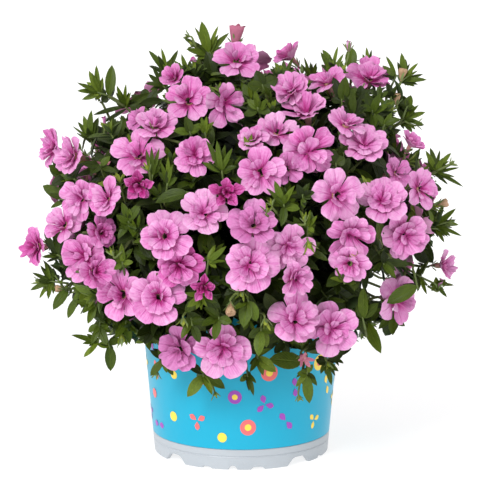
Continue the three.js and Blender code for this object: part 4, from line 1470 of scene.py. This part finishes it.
def in_light_gap(spot):
    """Whether the spot is seen in a gap that light comes through."""
    across, up = seen_from_front(spot)
    return any(
        math.hypot((across - x) / half_width, (up - z) / half_height) < 1
        for x, z, half_width, half_height in LIGHT_GAPS
    )


def closes_light_gap(base, tip):
    """Whether a leaf or a shoot from base to tip stands in such a gap."""
    return any(in_light_gap(base + (tip - base) * share) for share in (0, 0.25, 0.5, 0.75, 1))


class Foliage:
    """Keeps leaves off the faces of the blooms, off the pot and out of the petals."""

    def __init__(self, blooms):
        self.centres = np.array([bloom.centre for bloom in blooms])
        self.facings = np.array([bloom.facing for bloom in blooms])
        self.radii = np.array([bloom.radius for bloom in blooms])

    def allows(self, *spots):
        return all(self.allows_spot(spot) and within_outline(spot) for spot in spots)

    def allows_spot(self, spot):
        if spot[2] < 2 or not self.off_pot(spot):
            return False
        rel = spot - self.centres
        height = np.einsum("ij,ij->i", rel, self.facings)
        aside = np.linalg.norm(rel - height[:, None] * self.facings, axis=1)
        if np.any((height > -3.0) & (height < 14.0) & (aside < self.radii * 0.9)):
            return False
        sight = unit(spot - VIEWPOINT)
        facing_view = self.facings @ sight
        reach = np.einsum("ij,ij->i", self.centres - VIEWPOINT, self.facings) / np.where(
            np.abs(facing_view) < 0.05, -0.05, facing_view
        )
        crossing = VIEWPOINT + sight * reach[:, None]
        off = np.linalg.norm(crossing - self.centres, axis=1)
        nearer = np.linalg.norm(spot - VIEWPOINT) < reach
        return not np.any((facing_view < -0.2) & (off < self.radii * 0.86) & nearer)

    def off_pot(self, spot):
        radius = math.hypot(spot[0], spot[1])
        return spot[2] > POT_HEIGHT + 2 or radius > outer_radius(spot[2]) + RIM_PROUD + 1.5


def growth_way(azimuth, height):
    """The way that a shoot's tip points at that place on the dome."""
    out = direction(azimuth, height)
    level = direction(azimuth, 0)
    if height > -15:
        return unit(out * 0.75 + UP * 0.5)
    if height > -45:
        return unit(out * 0.9 - UP * 0.05)
    return unit(level * 0.75 - UP * 0.55)


def tip_shoot(azimuth, height, share, rng, front=False):
    tip = clear_of_pot(dome_point(azimuth, height, share), 7.0)
    way = growth_way(azimuth, height)
    if front:
        way = unit(direction(azimuth, height) * 0.5 + UP * 0.85)
    length = rng.uniform(20, 27) if height > -45 else rng.uniform(15, 20)
    foot = clear_of_pot(tip - way * length, 5.0)
    tone, leaf = (0.5, 0.65), (12, 15)
    if not front:
        tone, leaf = (0.22, 0.42), (14, 19)
    return Shoot(
        foot, unit(tip - foot), length * 0.86, broad=rng.randint(5, 7),
        narrow=rng.randint(6, 8), tone=rng.uniform(*tone), leaf=rng.uniform(*leaf),
    )


def shoots_between(taken):
    """Shoots that fill the rest of the dome, apart from each other and from the blooms."""
    rng = random.Random("shoots between")
    tips = []
    shoots = []
    for _ in range(SHOOT_TRIES):
        azimuth = rng.uniform(-180, 180)
        height = rng.uniform(-58, 84)
        if rng.random() > math.cos(math.radians(height)):
            continue
        share = rng.uniform(0.86, 1.0)
        tip = dome_point(azimuth, height, share)
        if any(np.linalg.norm(tip - other) < TIP_SPACING for other in tips):
            continue
        if any(np.linalg.norm(tip - bloom.centre) < bloom.radius * 0.6 for bloom in taken):
            continue
        tips.append(tip)
        shoots.append(tip_shoot(azimuth, height, share, rng))
        if len(shoots) == SHOOTS_BETWEEN:
            break
    return shoots


def rim_shoots():
    """Shoots along the outline as seen from the front, which their leaves fill out."""
    rng = random.Random("rim shoots")
    shoots = []
    for depth in (-22, 0, 24):
        for turn in range(-136, 137, 8):
            turn += rng.uniform(-3, 3)
            reach = np.interp(turn % 360, OUTLINE_TURNS, OUTLINE_REACH) - rng.uniform(2, 10)
            across, up = math.sin(math.radians(turn)), math.cos(math.radians(turn))
            off = depth + rng.uniform(-9, 9)
            tip = DOME_CENTRE + np.array((reach * across, off, reach * up))
            out = unit(np.array((across, depth / 60, up)) + UP * 0.25)
            foot = clear_of_pot(tip - out * 21, 5.0)
            shoots.append(
                Shoot(foot, unit(tip - foot), 19, broad=9, narrow=7, tone=rng.uniform(0.3, 0.56),
                      leaf=rng.uniform(11, 15))
            )
    return shoots


def fork_points():
    return [
        direction(first + 360 * i / count, 0) * radius + UP * height
        for radius, height, count, first in FORK_RINGS
        for i in range(count)
    ]


def curved(points, steps):
    """A smooth line through points, by Catmull-Rom."""
    points = [2 * points[0] - points[1], *points, 2 * points[-1] - points[-2]]
    line = []
    for a, b, c, d in zip(points, points[1:], points[2:], points[3:]):
        for step in range(steps):
            t = step / steps
            line.append(
                0.5 * (2 * b + (c - a) * t + (2 * a - 5 * b + 4 * c - d) * t * t
                       + (3 * b - a - 3 * c + d) * t ** 3)
            )
    line.append(points[-2])
    return np.array(line)


def nearest_fork(foot, feet=(), reach=18):
    """The fork, or the foot further inside the plant, that a twig to this foot starts from."""
    inner = [
        other
        for other in feet
        if np.linalg.norm(other - DOME_CENTRE) < np.linalg.norm(foot - DOME_CENTRE) - 3
        and np.linalg.norm(other - foot) < reach
    ]
    return min(fork_points() + inner, key=lambda point: np.linalg.norm(point - foot))


def twig_line(start, foot, facing):
    bend = min(9.0, np.linalg.norm(foot - start) * 0.4)
    return curved([start, foot - facing * bend, foot - facing * 0.3], 4)


def branch_line(fork):
    start = CROWN + np.array((fork[0] * 0.04, fork[1] * 0.04, 5.0))
    bend = np.array((fork[0] * 0.45, fork[1] * 0.45, start[2] + (fork[2] - start[2]) * 0.6))
    return curved([start, bend, fork], 8)


# ---- pieces ----


def grow_stems(ends, finishes):
    growth = Growth()
    growth.turned(
        [(5.4, -0.2), (6.2, 1.2), (5.2, 4.0), (5.0, 7.0), (3.8, 9.0)], 14, np.eye(3), CROWN, 0.1,
    )
    for fork in fork_points():
        line = branch_line(fork)
        growth.stem(line, np.linspace(2.3, 1.5, len(line)), 8, 0.25, 0)
        growth.turned(
            [(0.6, -2.4), (2.0, -1.3), (2.4, 0.0), (2.0, 1.3), (0.6, 2.4)], 8,
            axes(unit(line[-1] - line[-3]), 0), fork, 0.35,
        )
    for start, foot, facing in ends:
        line = twig_line(start, foot, facing)
        growth.stem(line, np.linspace(1.1, 0.65, len(line)), 6, 0.4, 0)
    return growth.make("branching_stems_grown", finishes, "stem_green", ["branching_stems"])


def grow_inner_leaves(ends, foliage, finishes):
    """Leaves along the twigs, darker the further inside the plant they are, as painted shade."""
    rng = random.Random("inner leaves")
    halves = (Growth(), Growth())
    for start, foot, facing in ends:
        line = twig_line(start, foot, facing)
        for _ in range(7):
            share = rng.uniform(0.15, 1.0)
            base = line[int(share * (len(line) - 1))]
            out = unit(base - DOME_CENTRE * (1, 1, 0.8))
            turn = np.array([rng.uniform(-1, 1) for _ in range(3)])
            way = unit(out * 0.7 + turn * 0.9)
            length = rng.uniform(14, 21)
            tip = base + way * length
            if not foliage.allows((base + tip) / 2, tip) or closes_light_gap(base, tip):
                continue
            if way_out(tip) > 0.97:
                continue
            # Painted shade: the leaf's tone drops towards the plant's inside.
            depth = way_out(base)
            tone = 0.02 + 0.26 * smooth((depth - 0.5) / 0.5) + rng.uniform(-0.03, 0.08)
            add_leaf(
                halves[0 if base[1] < 0 else 1], base, way, out + UP * 0.6, length,
                length * rng.uniform(0.36, 0.48), tone, rng, (3, 6), LEAF_SIDES,
            )
    for name, half in zip(("inner_leaves_front", "inner_leaves_back"), halves):
        half.make(name, finishes, "leaf_green")


def grow_shade_leaves(ends, finishes):
    """Broad leaves deep in the plant, along the branches and the twigs' starts, painted very dark
    as shade.
    """
    rng = random.Random("shade leaves")
    growth = Growth()
    lines = [(branch_line(fork), 64, 0.35) for fork in fork_points()]
    lines += [(twig_line(*end), 2, 0.0) for end in ends]
    for line, count, first in lines:
        for _ in range(count):
            base = line[int(rng.uniform(first, 0.98) * (len(line) - 1))]
            if way_out(base) > 0.72:
                continue
            way = unit(np.array([rng.uniform(-1, 1) for _ in range(3)]) + UP * 0.2)
            length = rng.uniform(22, 30)
            tip = base + way * length
            if way_out(tip) > 0.8 or min(base[2], tip[2]) < POT_HEIGHT + 4:
                continue
            if closes_light_gap(base, tip):
                continue
            # Painted shade: these leaves get a very dark tone, for the shade deep inside the plant.
            add_leaf(
                growth, base, way, UP + way * 0.2, length, length * rng.uniform(0.48, 0.6),
                rng.uniform(0.02, 0.16), rng, (2, 4), LEAF_SIDES,
            )
    growth.make("shade_leaves", finishes, "leaf_green")


def grow_soil(finishes):
    rng = random.Random("potting soil")
    growth = Growth()
    radius = outer_radius(SOIL_EDGE) - UNDER_SLEEVE - POT_WALL - 0.3
    sides, rows = 96, 16
    turns = even_turns(sides)
    lumps = [
        (rng.uniform(-55, 55), rng.uniform(-55, 55), rng.uniform(3, 9), rng.uniform(-0.6, 1.0))
        for _ in range(240)
    ]
    bottom = FLOOR_TOP + 0.3
    rings = [(0.4, bottom, False), (outer_radius(bottom) - 2.5, bottom, False)]
    for row in range(rows + 1):
        share = 1 - row / rows * 0.98
        height = SOIL_EDGE + (SOIL_TOP - SOIL_EDGE) * smooth((1 - share) * 4)
        rings.append((radius * share, height, True))
    grid = []
    for ring_radius, height, rough in rings:
        x = ring_radius * np.cos(turns)
        y = ring_radius * np.sin(turns)
        z = np.full(sides, float(height))
        if rough:
            for lump_x, lump_y, size, rise in lumps:
                z += rise * np.exp(-((x - lump_x) ** 2 + (y - lump_y) ** 2) / size ** 2)
        grid.append(np.stack((x, y, np.minimum(z, SOIL_TOP + 1.4)), -1))
    growth.rings(np.array(grid), np.zeros((len(grid), sides, 4)))
    for _ in range(260):
        angle = rng.uniform(0, 2 * math.pi)
        reach = math.sqrt(rng.random()) * (radius - 4)
        size = rng.uniform(0.7, 2.0)
        spot = np.array((reach * math.cos(angle), reach * math.sin(angle), SOIL_TOP + 0.2))
        facing = unit(np.array((rng.uniform(-1, 1), rng.uniform(-1, 1), 1.0)))
        growth.turned(
            [(0.2 * size, -0.7 * size), (rng.uniform(0.7, 1.1) * size, -0.2 * size),
             (rng.uniform(0.5, 0.9) * size, 0.45 * size), (0.1 * size, 0.8 * size)],
            6, axes(facing, rng.uniform(0, 6)), spot, 0.0, [0 if rng.random() < 0.9 else 1] * 3,
        )
    growth.make("potting_soil_surface", finishes, "potting_soil", ["potting_soil"])


# ---- pot, sleeve and print ----

# Gaps between the feet and notches in the front foot: azimuth, width at the ground, width at the
# top and height.
OPENINGS = [(41.25 + 90 * i, 18.4, 8.8, 5.0) for i in range(4)]
OPENINGS += [(-22.7, 6.4, 3.6, 1.2), (-5.3, 5.8, 2.6, 2.4), (11, 9, 5.6, 1.6), (64, 7, 4, 1.4)]
POT_STEPS = 192
DRAIN_HOLE_REACH = 40

LAP_AZIMUTH = 174
LAP_PROUD = 0.22
INK_PROUD = 0.14
SECOND_INK_PROUD = 0.2
INK_THICKNESS = 0.03
MOTIF_SPACING = 17.5


def pot_azimuths():
    """Even steps around the pot, and closer ones where the side of an opening stands."""
    turns = [i * 360 / POT_STEPS for i in range(POT_STEPS)]
    for centre, low, high, _ in OPENINGS:
        for across in np.linspace(high / 4, low / 2, 9):
            edge = math.degrees(math.asin(across / FOOT_RADIUS))
            turns += [(centre - edge) % 360, (centre + edge) % 360]
    kept = [0.0]
    for turn in sorted(turns):
        if turn - kept[-1] > 0.12:
            kept.append(turn)
    return np.array(kept)


def skirt_bottom(azimuths):
    """Height of the skirt's lower edge, which rises in the openings."""
    bottom = np.zeros(len(azimuths))
    for centre, low, high, height in OPENINGS:
        off = (azimuths - centre + 180) % 360 - 180
        across = FOOT_RADIUS * np.sin(np.radians(np.abs(off)))
        shoulder = low / 2 + (high - low) / 2 * 0.65
        bend = np.linspace(0, 1, 7)
        ahead = 1 - bend
        corner_x = ahead ** 2 * shoulder + 2 * bend * ahead * high / 2 + bend ** 2 * high / 4
        corner_z = (1 - ahead ** 2 * 0.35) * height
        profile_x = np.concatenate(([0.0], corner_x[::-1], [low / 2]))
        profile_z = np.concatenate(([height], corner_z[::-1], [0.0]))
        edge = np.interp(across, profile_x, profile_z, right=0.0)
        bottom = np.where(np.abs(off) < 40, np.maximum(bottom, edge), bottom)
    return bottom


def around(azimuths, radius, height):
    a = np.radians(azimuths)
    return np.stack((np.sin(a) * radius, -np.cos(a) * radius, height + a * 0), -1)


def turn_pot(finishes):
    azimuths = pot_azimuths()
    low = skirt_bottom(azimuths)
    top, under = POT_HEIGHT, POT_HEIGHT - RIM_HEIGHT
    rim = outer_radius(top) + RIM_PROUD
    inside = UNDER_SLEEVE + POT_WALL
    inner_rim = outer_radius(top) - inside
    skirt = FOOT_RADIUS - SKIRT_WALL
    rows = [(reach, FLOOR_UNDERSIDE) for reach in (0.3, 20, 34, 46)]
    rows += [
        (outer_radius(7) - SKIRT_WALL - 0.6, FLOOR_UNDERSIDE),
        (outer_radius(6.4) - SKIRT_WALL, 6.7), (skirt, low + 0.35), (skirt + 0.35, low),
        (FOOT_RADIUS - 0.4, low), (outer_radius(0.3), low + 0.4),
        (outer_radius(7.7), 7.7), (outer_radius(7.9) - 0.3, 8.0), (outer_radius(8.3) - 0.45, 8.3),
        (outer_radius(8.6) - 0.3, 8.6), (outer_radius(8.9), 8.9),
        (outer_radius(12.1), 12.1), (outer_radius(12.6) - 0.1, 12.65),
        (outer_radius(12.9) - 0.4, 12.9), (outer_radius(12.9) - UNDER_SLEEVE, 12.92),
    ]
    rows += [(outer_radius(h) - UNDER_SLEEVE, h) for h in (30, 50, 70, 90, 97.4)]
    rows += [
        (outer_radius(under) - 0.2, under), (rim - 0.5, under), (rim - 0.12, under + 0.15),
        (rim, under + 0.6), (rim, under + 2.8), (rim, top - 0.9), (rim - 0.15, top - 0.4),
        (rim - 0.6, top - 0.05), (rim - 1.2, top), (inner_rim + 0.5, top),
        (inner_rim + 0.12, top - 0.2), (inner_rim, top - 0.7),
    ]
    rows += [(outer_radius(h) - inside, h) for h in (97, 92, 70, 45, 20, 11)]
    rows += [(outer_radius(9) - inside - 1.2, 9.0), (outer_radius(8.6) - inside - 3, FLOOR_TOP)]
    rows += [(reach, FLOOR_TOP) for reach in (44, 30, 14, 0.3)]
    growth = Growth()
    rings = np.array([around(azimuths, radius, height) for radius, height in rows])
    growth.rings(rings, np.zeros((len(rows), len(azimuths), 4)))
    pot = growth.make("grower_pot_moulded", finishes, "pot_plastic", ["grower_pot"], 38)
    drill_drain_holes(pot)


def drill_drain_holes(pot):
    growth = Growth()
    for i in range(8):
        centre = direction(22.5 + 45 * i, 0) * DRAIN_HOLE_REACH
        growth.turned([(4.0, 5.5), (4.0, 10.0)], 20, np.eye(3), centre, 0.0)
    cutter = growth.make("drain_holes", [], "pot_plastic")
    cut = pot.modifiers.new("drain holes", "BOOLEAN")
    cut.operation = "DIFFERENCE"
    cut.solver = "EXACT"
    cut.object = cutter
    graph = bpy.context.evaluated_depsgraph_get()
    drilled = bpy.data.meshes.new_from_object(pot.evaluated_get(graph))
    pot.modifiers.clear()
    pot.data = drilled
    bpy.data.objects.remove(cutter)


def wrap_sleeve(finishes):
    growth = Growth()
    azimuths = np.linspace(0, 360, 240, endpoint=False)
    heights = np.linspace(SLEEVE_BOTTOM, SLEEVE_TOP, 22)
    ripple = 0.05 * np.sin(np.radians(azimuths) * 7 + 1) + 0.04 * np.sin(np.radians(azimuths) * 17)
    off_lap = np.abs((azimuths - LAP_AZIMUTH + 180) % 360 - 180)
    lap = LAP_PROUD * smooth((6.5 - off_lap) / 0.9)
    rows = [around(azimuths, outer_radius(heights[0]) - SLEEVE_THICKNESS, heights[0])]
    for height in heights:
        edge = min(height - heights[0], heights[-1] - height)
        calm = smooth(edge / 12)
        rows.append(around(azimuths, outer_radius(height) - 0.05 + ripple * calm + lap, height))
    rows.append(around(azimuths, outer_radius(heights[-1]) - SLEEVE_THICKNESS, heights[-1]))
    rings = np.array(rows)
    growth.add_points(rings.reshape(-1, 3), np.zeros((rings.shape[0] * rings.shape[1], 4)))
    grid = run_round(point_numbers(*rings.shape[:2]))
    growth.add_faces(cells(np.concatenate((grid, grid[:1]), axis=0)), 0)
    growth.make("pot_sleeve_printed", finishes, "printed_sleeve", ["pot_sleeve"], 40)


def on_sleeve(across, up, proud):
    """Points on the sleeve from the arc length from the front and the height."""
    radius = outer_radius(up) + proud
    turn = across / outer_radius(55.0)
    return np.stack((radius * np.sin(turn), -radius * np.cos(turn), up), -1)


def print_disc(growth, across, up, size, slot, proud):
    u, v = np.meshgrid(np.linspace(-1, 1, 9), np.linspace(-1, 1, 9))
    x, y = u * np.sqrt(1 - v * v / 2), v * np.sqrt(1 - u * u / 2)
    points = on_sleeve(across + x * size / 2, up + y * size / 2, proud)
    growth.sheet(points, np.zeros((*u.shape, 4)), INK_THICKNESS, slot, slot)


def print_drop(growth, across, up, size, turn, slot):
    u, v = blade_grid(5, 9)
    x = u * (size * 0.32 * np.sin(math.pi * v ** 1.25) ** 0.9 + 0.02)
    y = size * (0.12 + v)
    px = x * math.cos(turn) - y * math.sin(turn)
    py = x * math.sin(turn) + y * math.cos(turn)
    points = on_sleeve(across + px, up + py, INK_PROUD)
    growth.sheet(points, np.zeros((*u.shape, 4)), INK_THICKNESS, slot, slot)


def print_motifs(finishes):
    rng = random.Random("sleeve print")
    growth = Growth()
    yellow, coral, purple = range(3)
    spots = []
    for _ in range(3000):
        across = rng.uniform(-184, 184)
        up = rng.uniform(20, 91)
        if all(math.hypot(across - x, up - y) > MOTIF_SPACING for x, y in spots):
            spots.append((across, up))
    for i, (across, up) in enumerate(spots):
        ink = (coral, purple, yellow)[i % 3]
        accent = (yellow, yellow, coral)[i % 3]
        size = rng.uniform(8.6, 10.6)
        if i % 4 == 0:
            print_disc(growth, across, up, size, ink, INK_PROUD)
            print_disc(growth, across, up, size * 0.42, accent, SECOND_INK_PROUD)
        elif i % 4 == 2:
            print_disc(growth, across, up, size * 0.6, ink, INK_PROUD)
        else:
            drops, share = (3, 0.55) if i % 4 == 1 else (2, 0.62)
            for drop in range(drops):
                turn = drop * 2 * math.pi / drops + i
                print_drop(growth, across, up, size * share, turn, ink)
    growth.make("sleeve_print", finishes, "printed_sleeve")


# ---- stage ----


# Radius and height in metres.
FLOOR_RINGS = [(10.0, 0.0), (12.0, 0.1), (13.4, 0.6), (14.2, 1.6), (14.4, 4.0)]


def lay_floor():
    """A round floor whose far edge curves up into a backdrop."""
    matt = {"Roughness": 0.9, "Specular IOR Level": 0.1}
    glow = {"Emission Color": (1.0, 1.0, 1.0, 1.0), "Emission Strength": 0.72}
    finish = Finish("studio_floor", matt | glow)
    finish.surface(Base_Color=(0.42, 0.42, 0.42, 1.0))
    mesh = bpy.data.meshes.new("studio_floor")
    sides = 96
    points = [
        (radius * math.cos(turn), radius * math.sin(turn), height)
        for radius, height in FLOOR_RINGS
        for turn in even_turns(sides)
    ]
    bands = cells(run_round(point_numbers(len(FLOOR_RINGS), sides)))
    faces = [list(range(sides)), *bands[:, [0, 3, 2, 1]].tolist()]
    mesh.from_pydata(points, [], faces)
    mesh.polygons.foreach_set("use_smooth", np.ones(len(faces), bool))
    mesh.materials.append(finish.material)
    floor = bpy.data.objects.new("studio_floor", mesh)
    bpy.context.scene.collection.objects.link(floor)
    floor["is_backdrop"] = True


def sun(name, azimuth, height, strength, softness):
    lamp = bpy.data.lights.new(name, "SUN")
    lamp.energy = strength
    lamp.angle = math.radians(softness)
    holder = bpy.data.objects.new(name, lamp)
    holder.rotation_euler = (math.radians(90 - height), 0, math.radians(azimuth))
    bpy.context.scene.collection.objects.link(holder)


def light_studio():
    world = bpy.data.worlds.new("studio")
    world.use_nodes = True
    world.node_tree.nodes["Background"].inputs["Color"].default_value = (1, 1, 1, 1)
    world.node_tree.nodes["Background"].inputs["Strength"].default_value = 0.6
    bpy.context.scene.world = world
    sun("key_light", -27, 36, 1.9, 24)
    sun("back_light", 160, 50, 0.35, 70)
    bpy.context.scene.view_settings.view_transform = "Standard"


def set_camera():
    data = bpy.data.cameras.new("front_camera")
    data.lens = LENS
    data.sensor_width = 36
    data.clip_end = 60
    camera = bpy.data.objects.new("front_camera", data)
    camera.location = VIEWPOINT * MILLIMETRE
    camera.rotation_euler = (math.radians(90 - VIEW_PITCH), 0, 0)
    bpy.context.scene.collection.objects.link(camera)
    bpy.context.scene.camera = camera


# ---- the whole plant ----


def numbered(name, index):
    return f"{name}_{index + 1:02d}"


def twig_end(grown):
    """Where the twig to a bloom or a shoot starts, where it ends and the way that it ends."""
    return nearest_fork(grown.foot), grown.foot, grown.facing


def grow_blooms(blooms, between, behind, finishes):
    for i, bloom in enumerate(blooms):
        node = numbered("bloom", i)
        growth = Growth()
        bloom.add_to(growth, random.Random(node), fine=i < len(FRONT_BLOOMS))
        growth.make(f"{node}_petals", finishes, "petal_pink", [node])
    for name, group, fine in (
        ("blooms_between", between, True),
        ("blooms_behind_left", [b for b in behind if b.centre[0] < 0], False),
        ("blooms_behind_right", [b for b in behind if b.centre[0] >= 0], False),
    ):
        growth = Growth()
        rng = random.Random(name)
        for bloom in group:
            bloom.add_to(growth, rng, fine)
        growth.make(name, finishes, "petal_pink")


def grow_own_shoots(foliage, finishes):
    """The shoots with a piece of their own, no longer than the outline leaves room for."""
    ends = []
    for i, (azimuth, height, share, way) in enumerate(SHOOTS):
        node = numbered("leafy_shoot", i)
        shoot = Shoot(
            dome_point(azimuth, height, share), direction(azimuth, way), SHOOT_LENGTH,
            broad=8, narrow=10,
        )
        while shoot.length > 10 and not within_outline(shoot.tip, 4.0):
            shoot.length *= 0.9
        ends.append(twig_end(shoot))
        growth = Growth()
        shoot.add_to(growth, random.Random(node), foliage.allows)
        growth.make(f"{node}_leaves", finishes, "leaf_green", [node])
    return ends


def grow_further_shoots(every_bloom, foliage, finishes):
    rng = random.Random("tips")
    gaps = [tip_shoot(azimuth, height, 0.99, rng, front=True) for azimuth, height in GAP_TIPS]
    between = shoots_between(every_bloom)
    ends = []
    for name, group in (
        ("gap_shoots", gaps),
        ("rim_shoots", rim_shoots()),
        ("shoots_between_front", [s for s in between if s.foot[1] < 0]),
        ("shoots_between_back", [s for s in between if s.foot[1] >= 0]),
    ):
        growth = Growth()
        rng = random.Random(name)
        for shoot in group:
            if shoot.within_outline() and not closes_light_gap(shoot.foot, shoot.tip):
                shoot.add_to(growth, rng, foliage.allows)
                ends.append(twig_end(shoot))
        growth.make(name, finishes, "leaf_green")
    return ends


def grow_sprigs(sprigs, feet, finishes):
    ends = []
    for name, group in (
        ("sprigs_in_gaps", [s for s in sprigs if s.nearer > 0.7]),
        ("sprigs_at_outline", [s for s in sprigs if s.nearer <= 0.7]),
    ):
        growth = Growth()
        rng = random.Random(name)
        for sprig in group:
            sprig.add_to(growth, rng)
            start = nearest_fork(sprig.foot, feet)
            ends.append((start, sprig.foot, unit(unit(sprig.foot - start) + sprig.facing * 1.2)))
        growth.make(name, finishes, "leaf_green")
    return ends


def grow_buds(feet, finishes):
    ends = []
    growth = Growth()
    rng = random.Random("buds")
    for *base, turn, length, kind in BUDS:
        base = np.array(base, float)
        facing = unit(seen_way(turn, 2.0 if kind == "dried" else 0.5 * nearness(base)))
        add_bud(growth, rng, base, facing, length, kind)
        start = nearest_fork(base, feet, 30)
        inwards = clear_of_pot(base - unit(base - start) * 7 - facing * 2, 3.0)
        start = nearest_fork(inwards, feet, 30)
        ends.append((start, inwards, unit(inwards - start)))
        line = curved([inwards, base - facing * 1.6, base + facing * 0.4], 3)
        growth.stem(line, np.linspace(0.8, 0.55, len(line)), 6, 0.6, STALK)
    growth.make("buds_and_spent_blooms", finishes, "petal_pink")
    return ends


def build_plant():
    face, back = petal_face(), petal_back()
    blade, underside, stalk = leaf_blade(), leaf_underside(), young_stem()
    bloom_finishes = [face, back, bloom_throat(), bloom_tube(), blade, underside]
    shoot_finishes = [blade, underside, stalk, face, spent_petal()]

    blooms = own_blooms()
    between = blooms_between(blooms)
    behind = blooms_behind(blooms + between)
    every_bloom = blooms + between + behind
    foliage = Foliage(every_bloom)
    sprigs = [Sprig(*row) for row in SPRIGS]
    feet = [sprig.foot for sprig in sprigs]

    grow_blooms(blooms, between, behind, bloom_finishes)
    ends = [twig_end(bloom) for bloom in every_bloom]
    ends += grow_own_shoots(foliage, shoot_finishes)
    ends += grow_further_shoots(every_bloom, foliage, shoot_finishes)
    ends += grow_sprigs(sprigs, feet, shoot_finishes)
    ends += grow_buds(feet, shoot_finishes)
    grow_stems(ends, [bark()])
    grow_inner_leaves(ends, foliage, [blade, underside])
    grow_shade_leaves(ends, [blade, underside])
    grow_soil([potting_mix(), flat_tint("perlite", srgb(226, 222, 212), srgb(190, 184, 170))])


def build_pot():
    turn_pot([moulded_plastic()])
    wrap_sleeve([printed_film()])
    print_motifs(
        [
            flat_tint("yellow_ink", srgb(255, 226, 84), srgb(244, 206, 70)),
            flat_tint("coral_ink", srgb(250, 118, 118), srgb(232, 96, 100)),
            flat_tint("purple_ink", srgb(166, 74, 190), srgb(146, 60, 172)),
        ]
    )


def corners():
    low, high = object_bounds()
    return [list(low), list(high)]


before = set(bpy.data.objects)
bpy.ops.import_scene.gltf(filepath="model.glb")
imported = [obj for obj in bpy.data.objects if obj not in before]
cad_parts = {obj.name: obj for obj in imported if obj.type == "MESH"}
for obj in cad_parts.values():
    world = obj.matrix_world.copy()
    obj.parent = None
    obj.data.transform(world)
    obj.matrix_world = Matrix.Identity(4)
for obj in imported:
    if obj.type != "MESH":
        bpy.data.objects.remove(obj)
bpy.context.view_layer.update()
set_camera()
light_studio()
lay_floor()
build_pot()
build_plant()
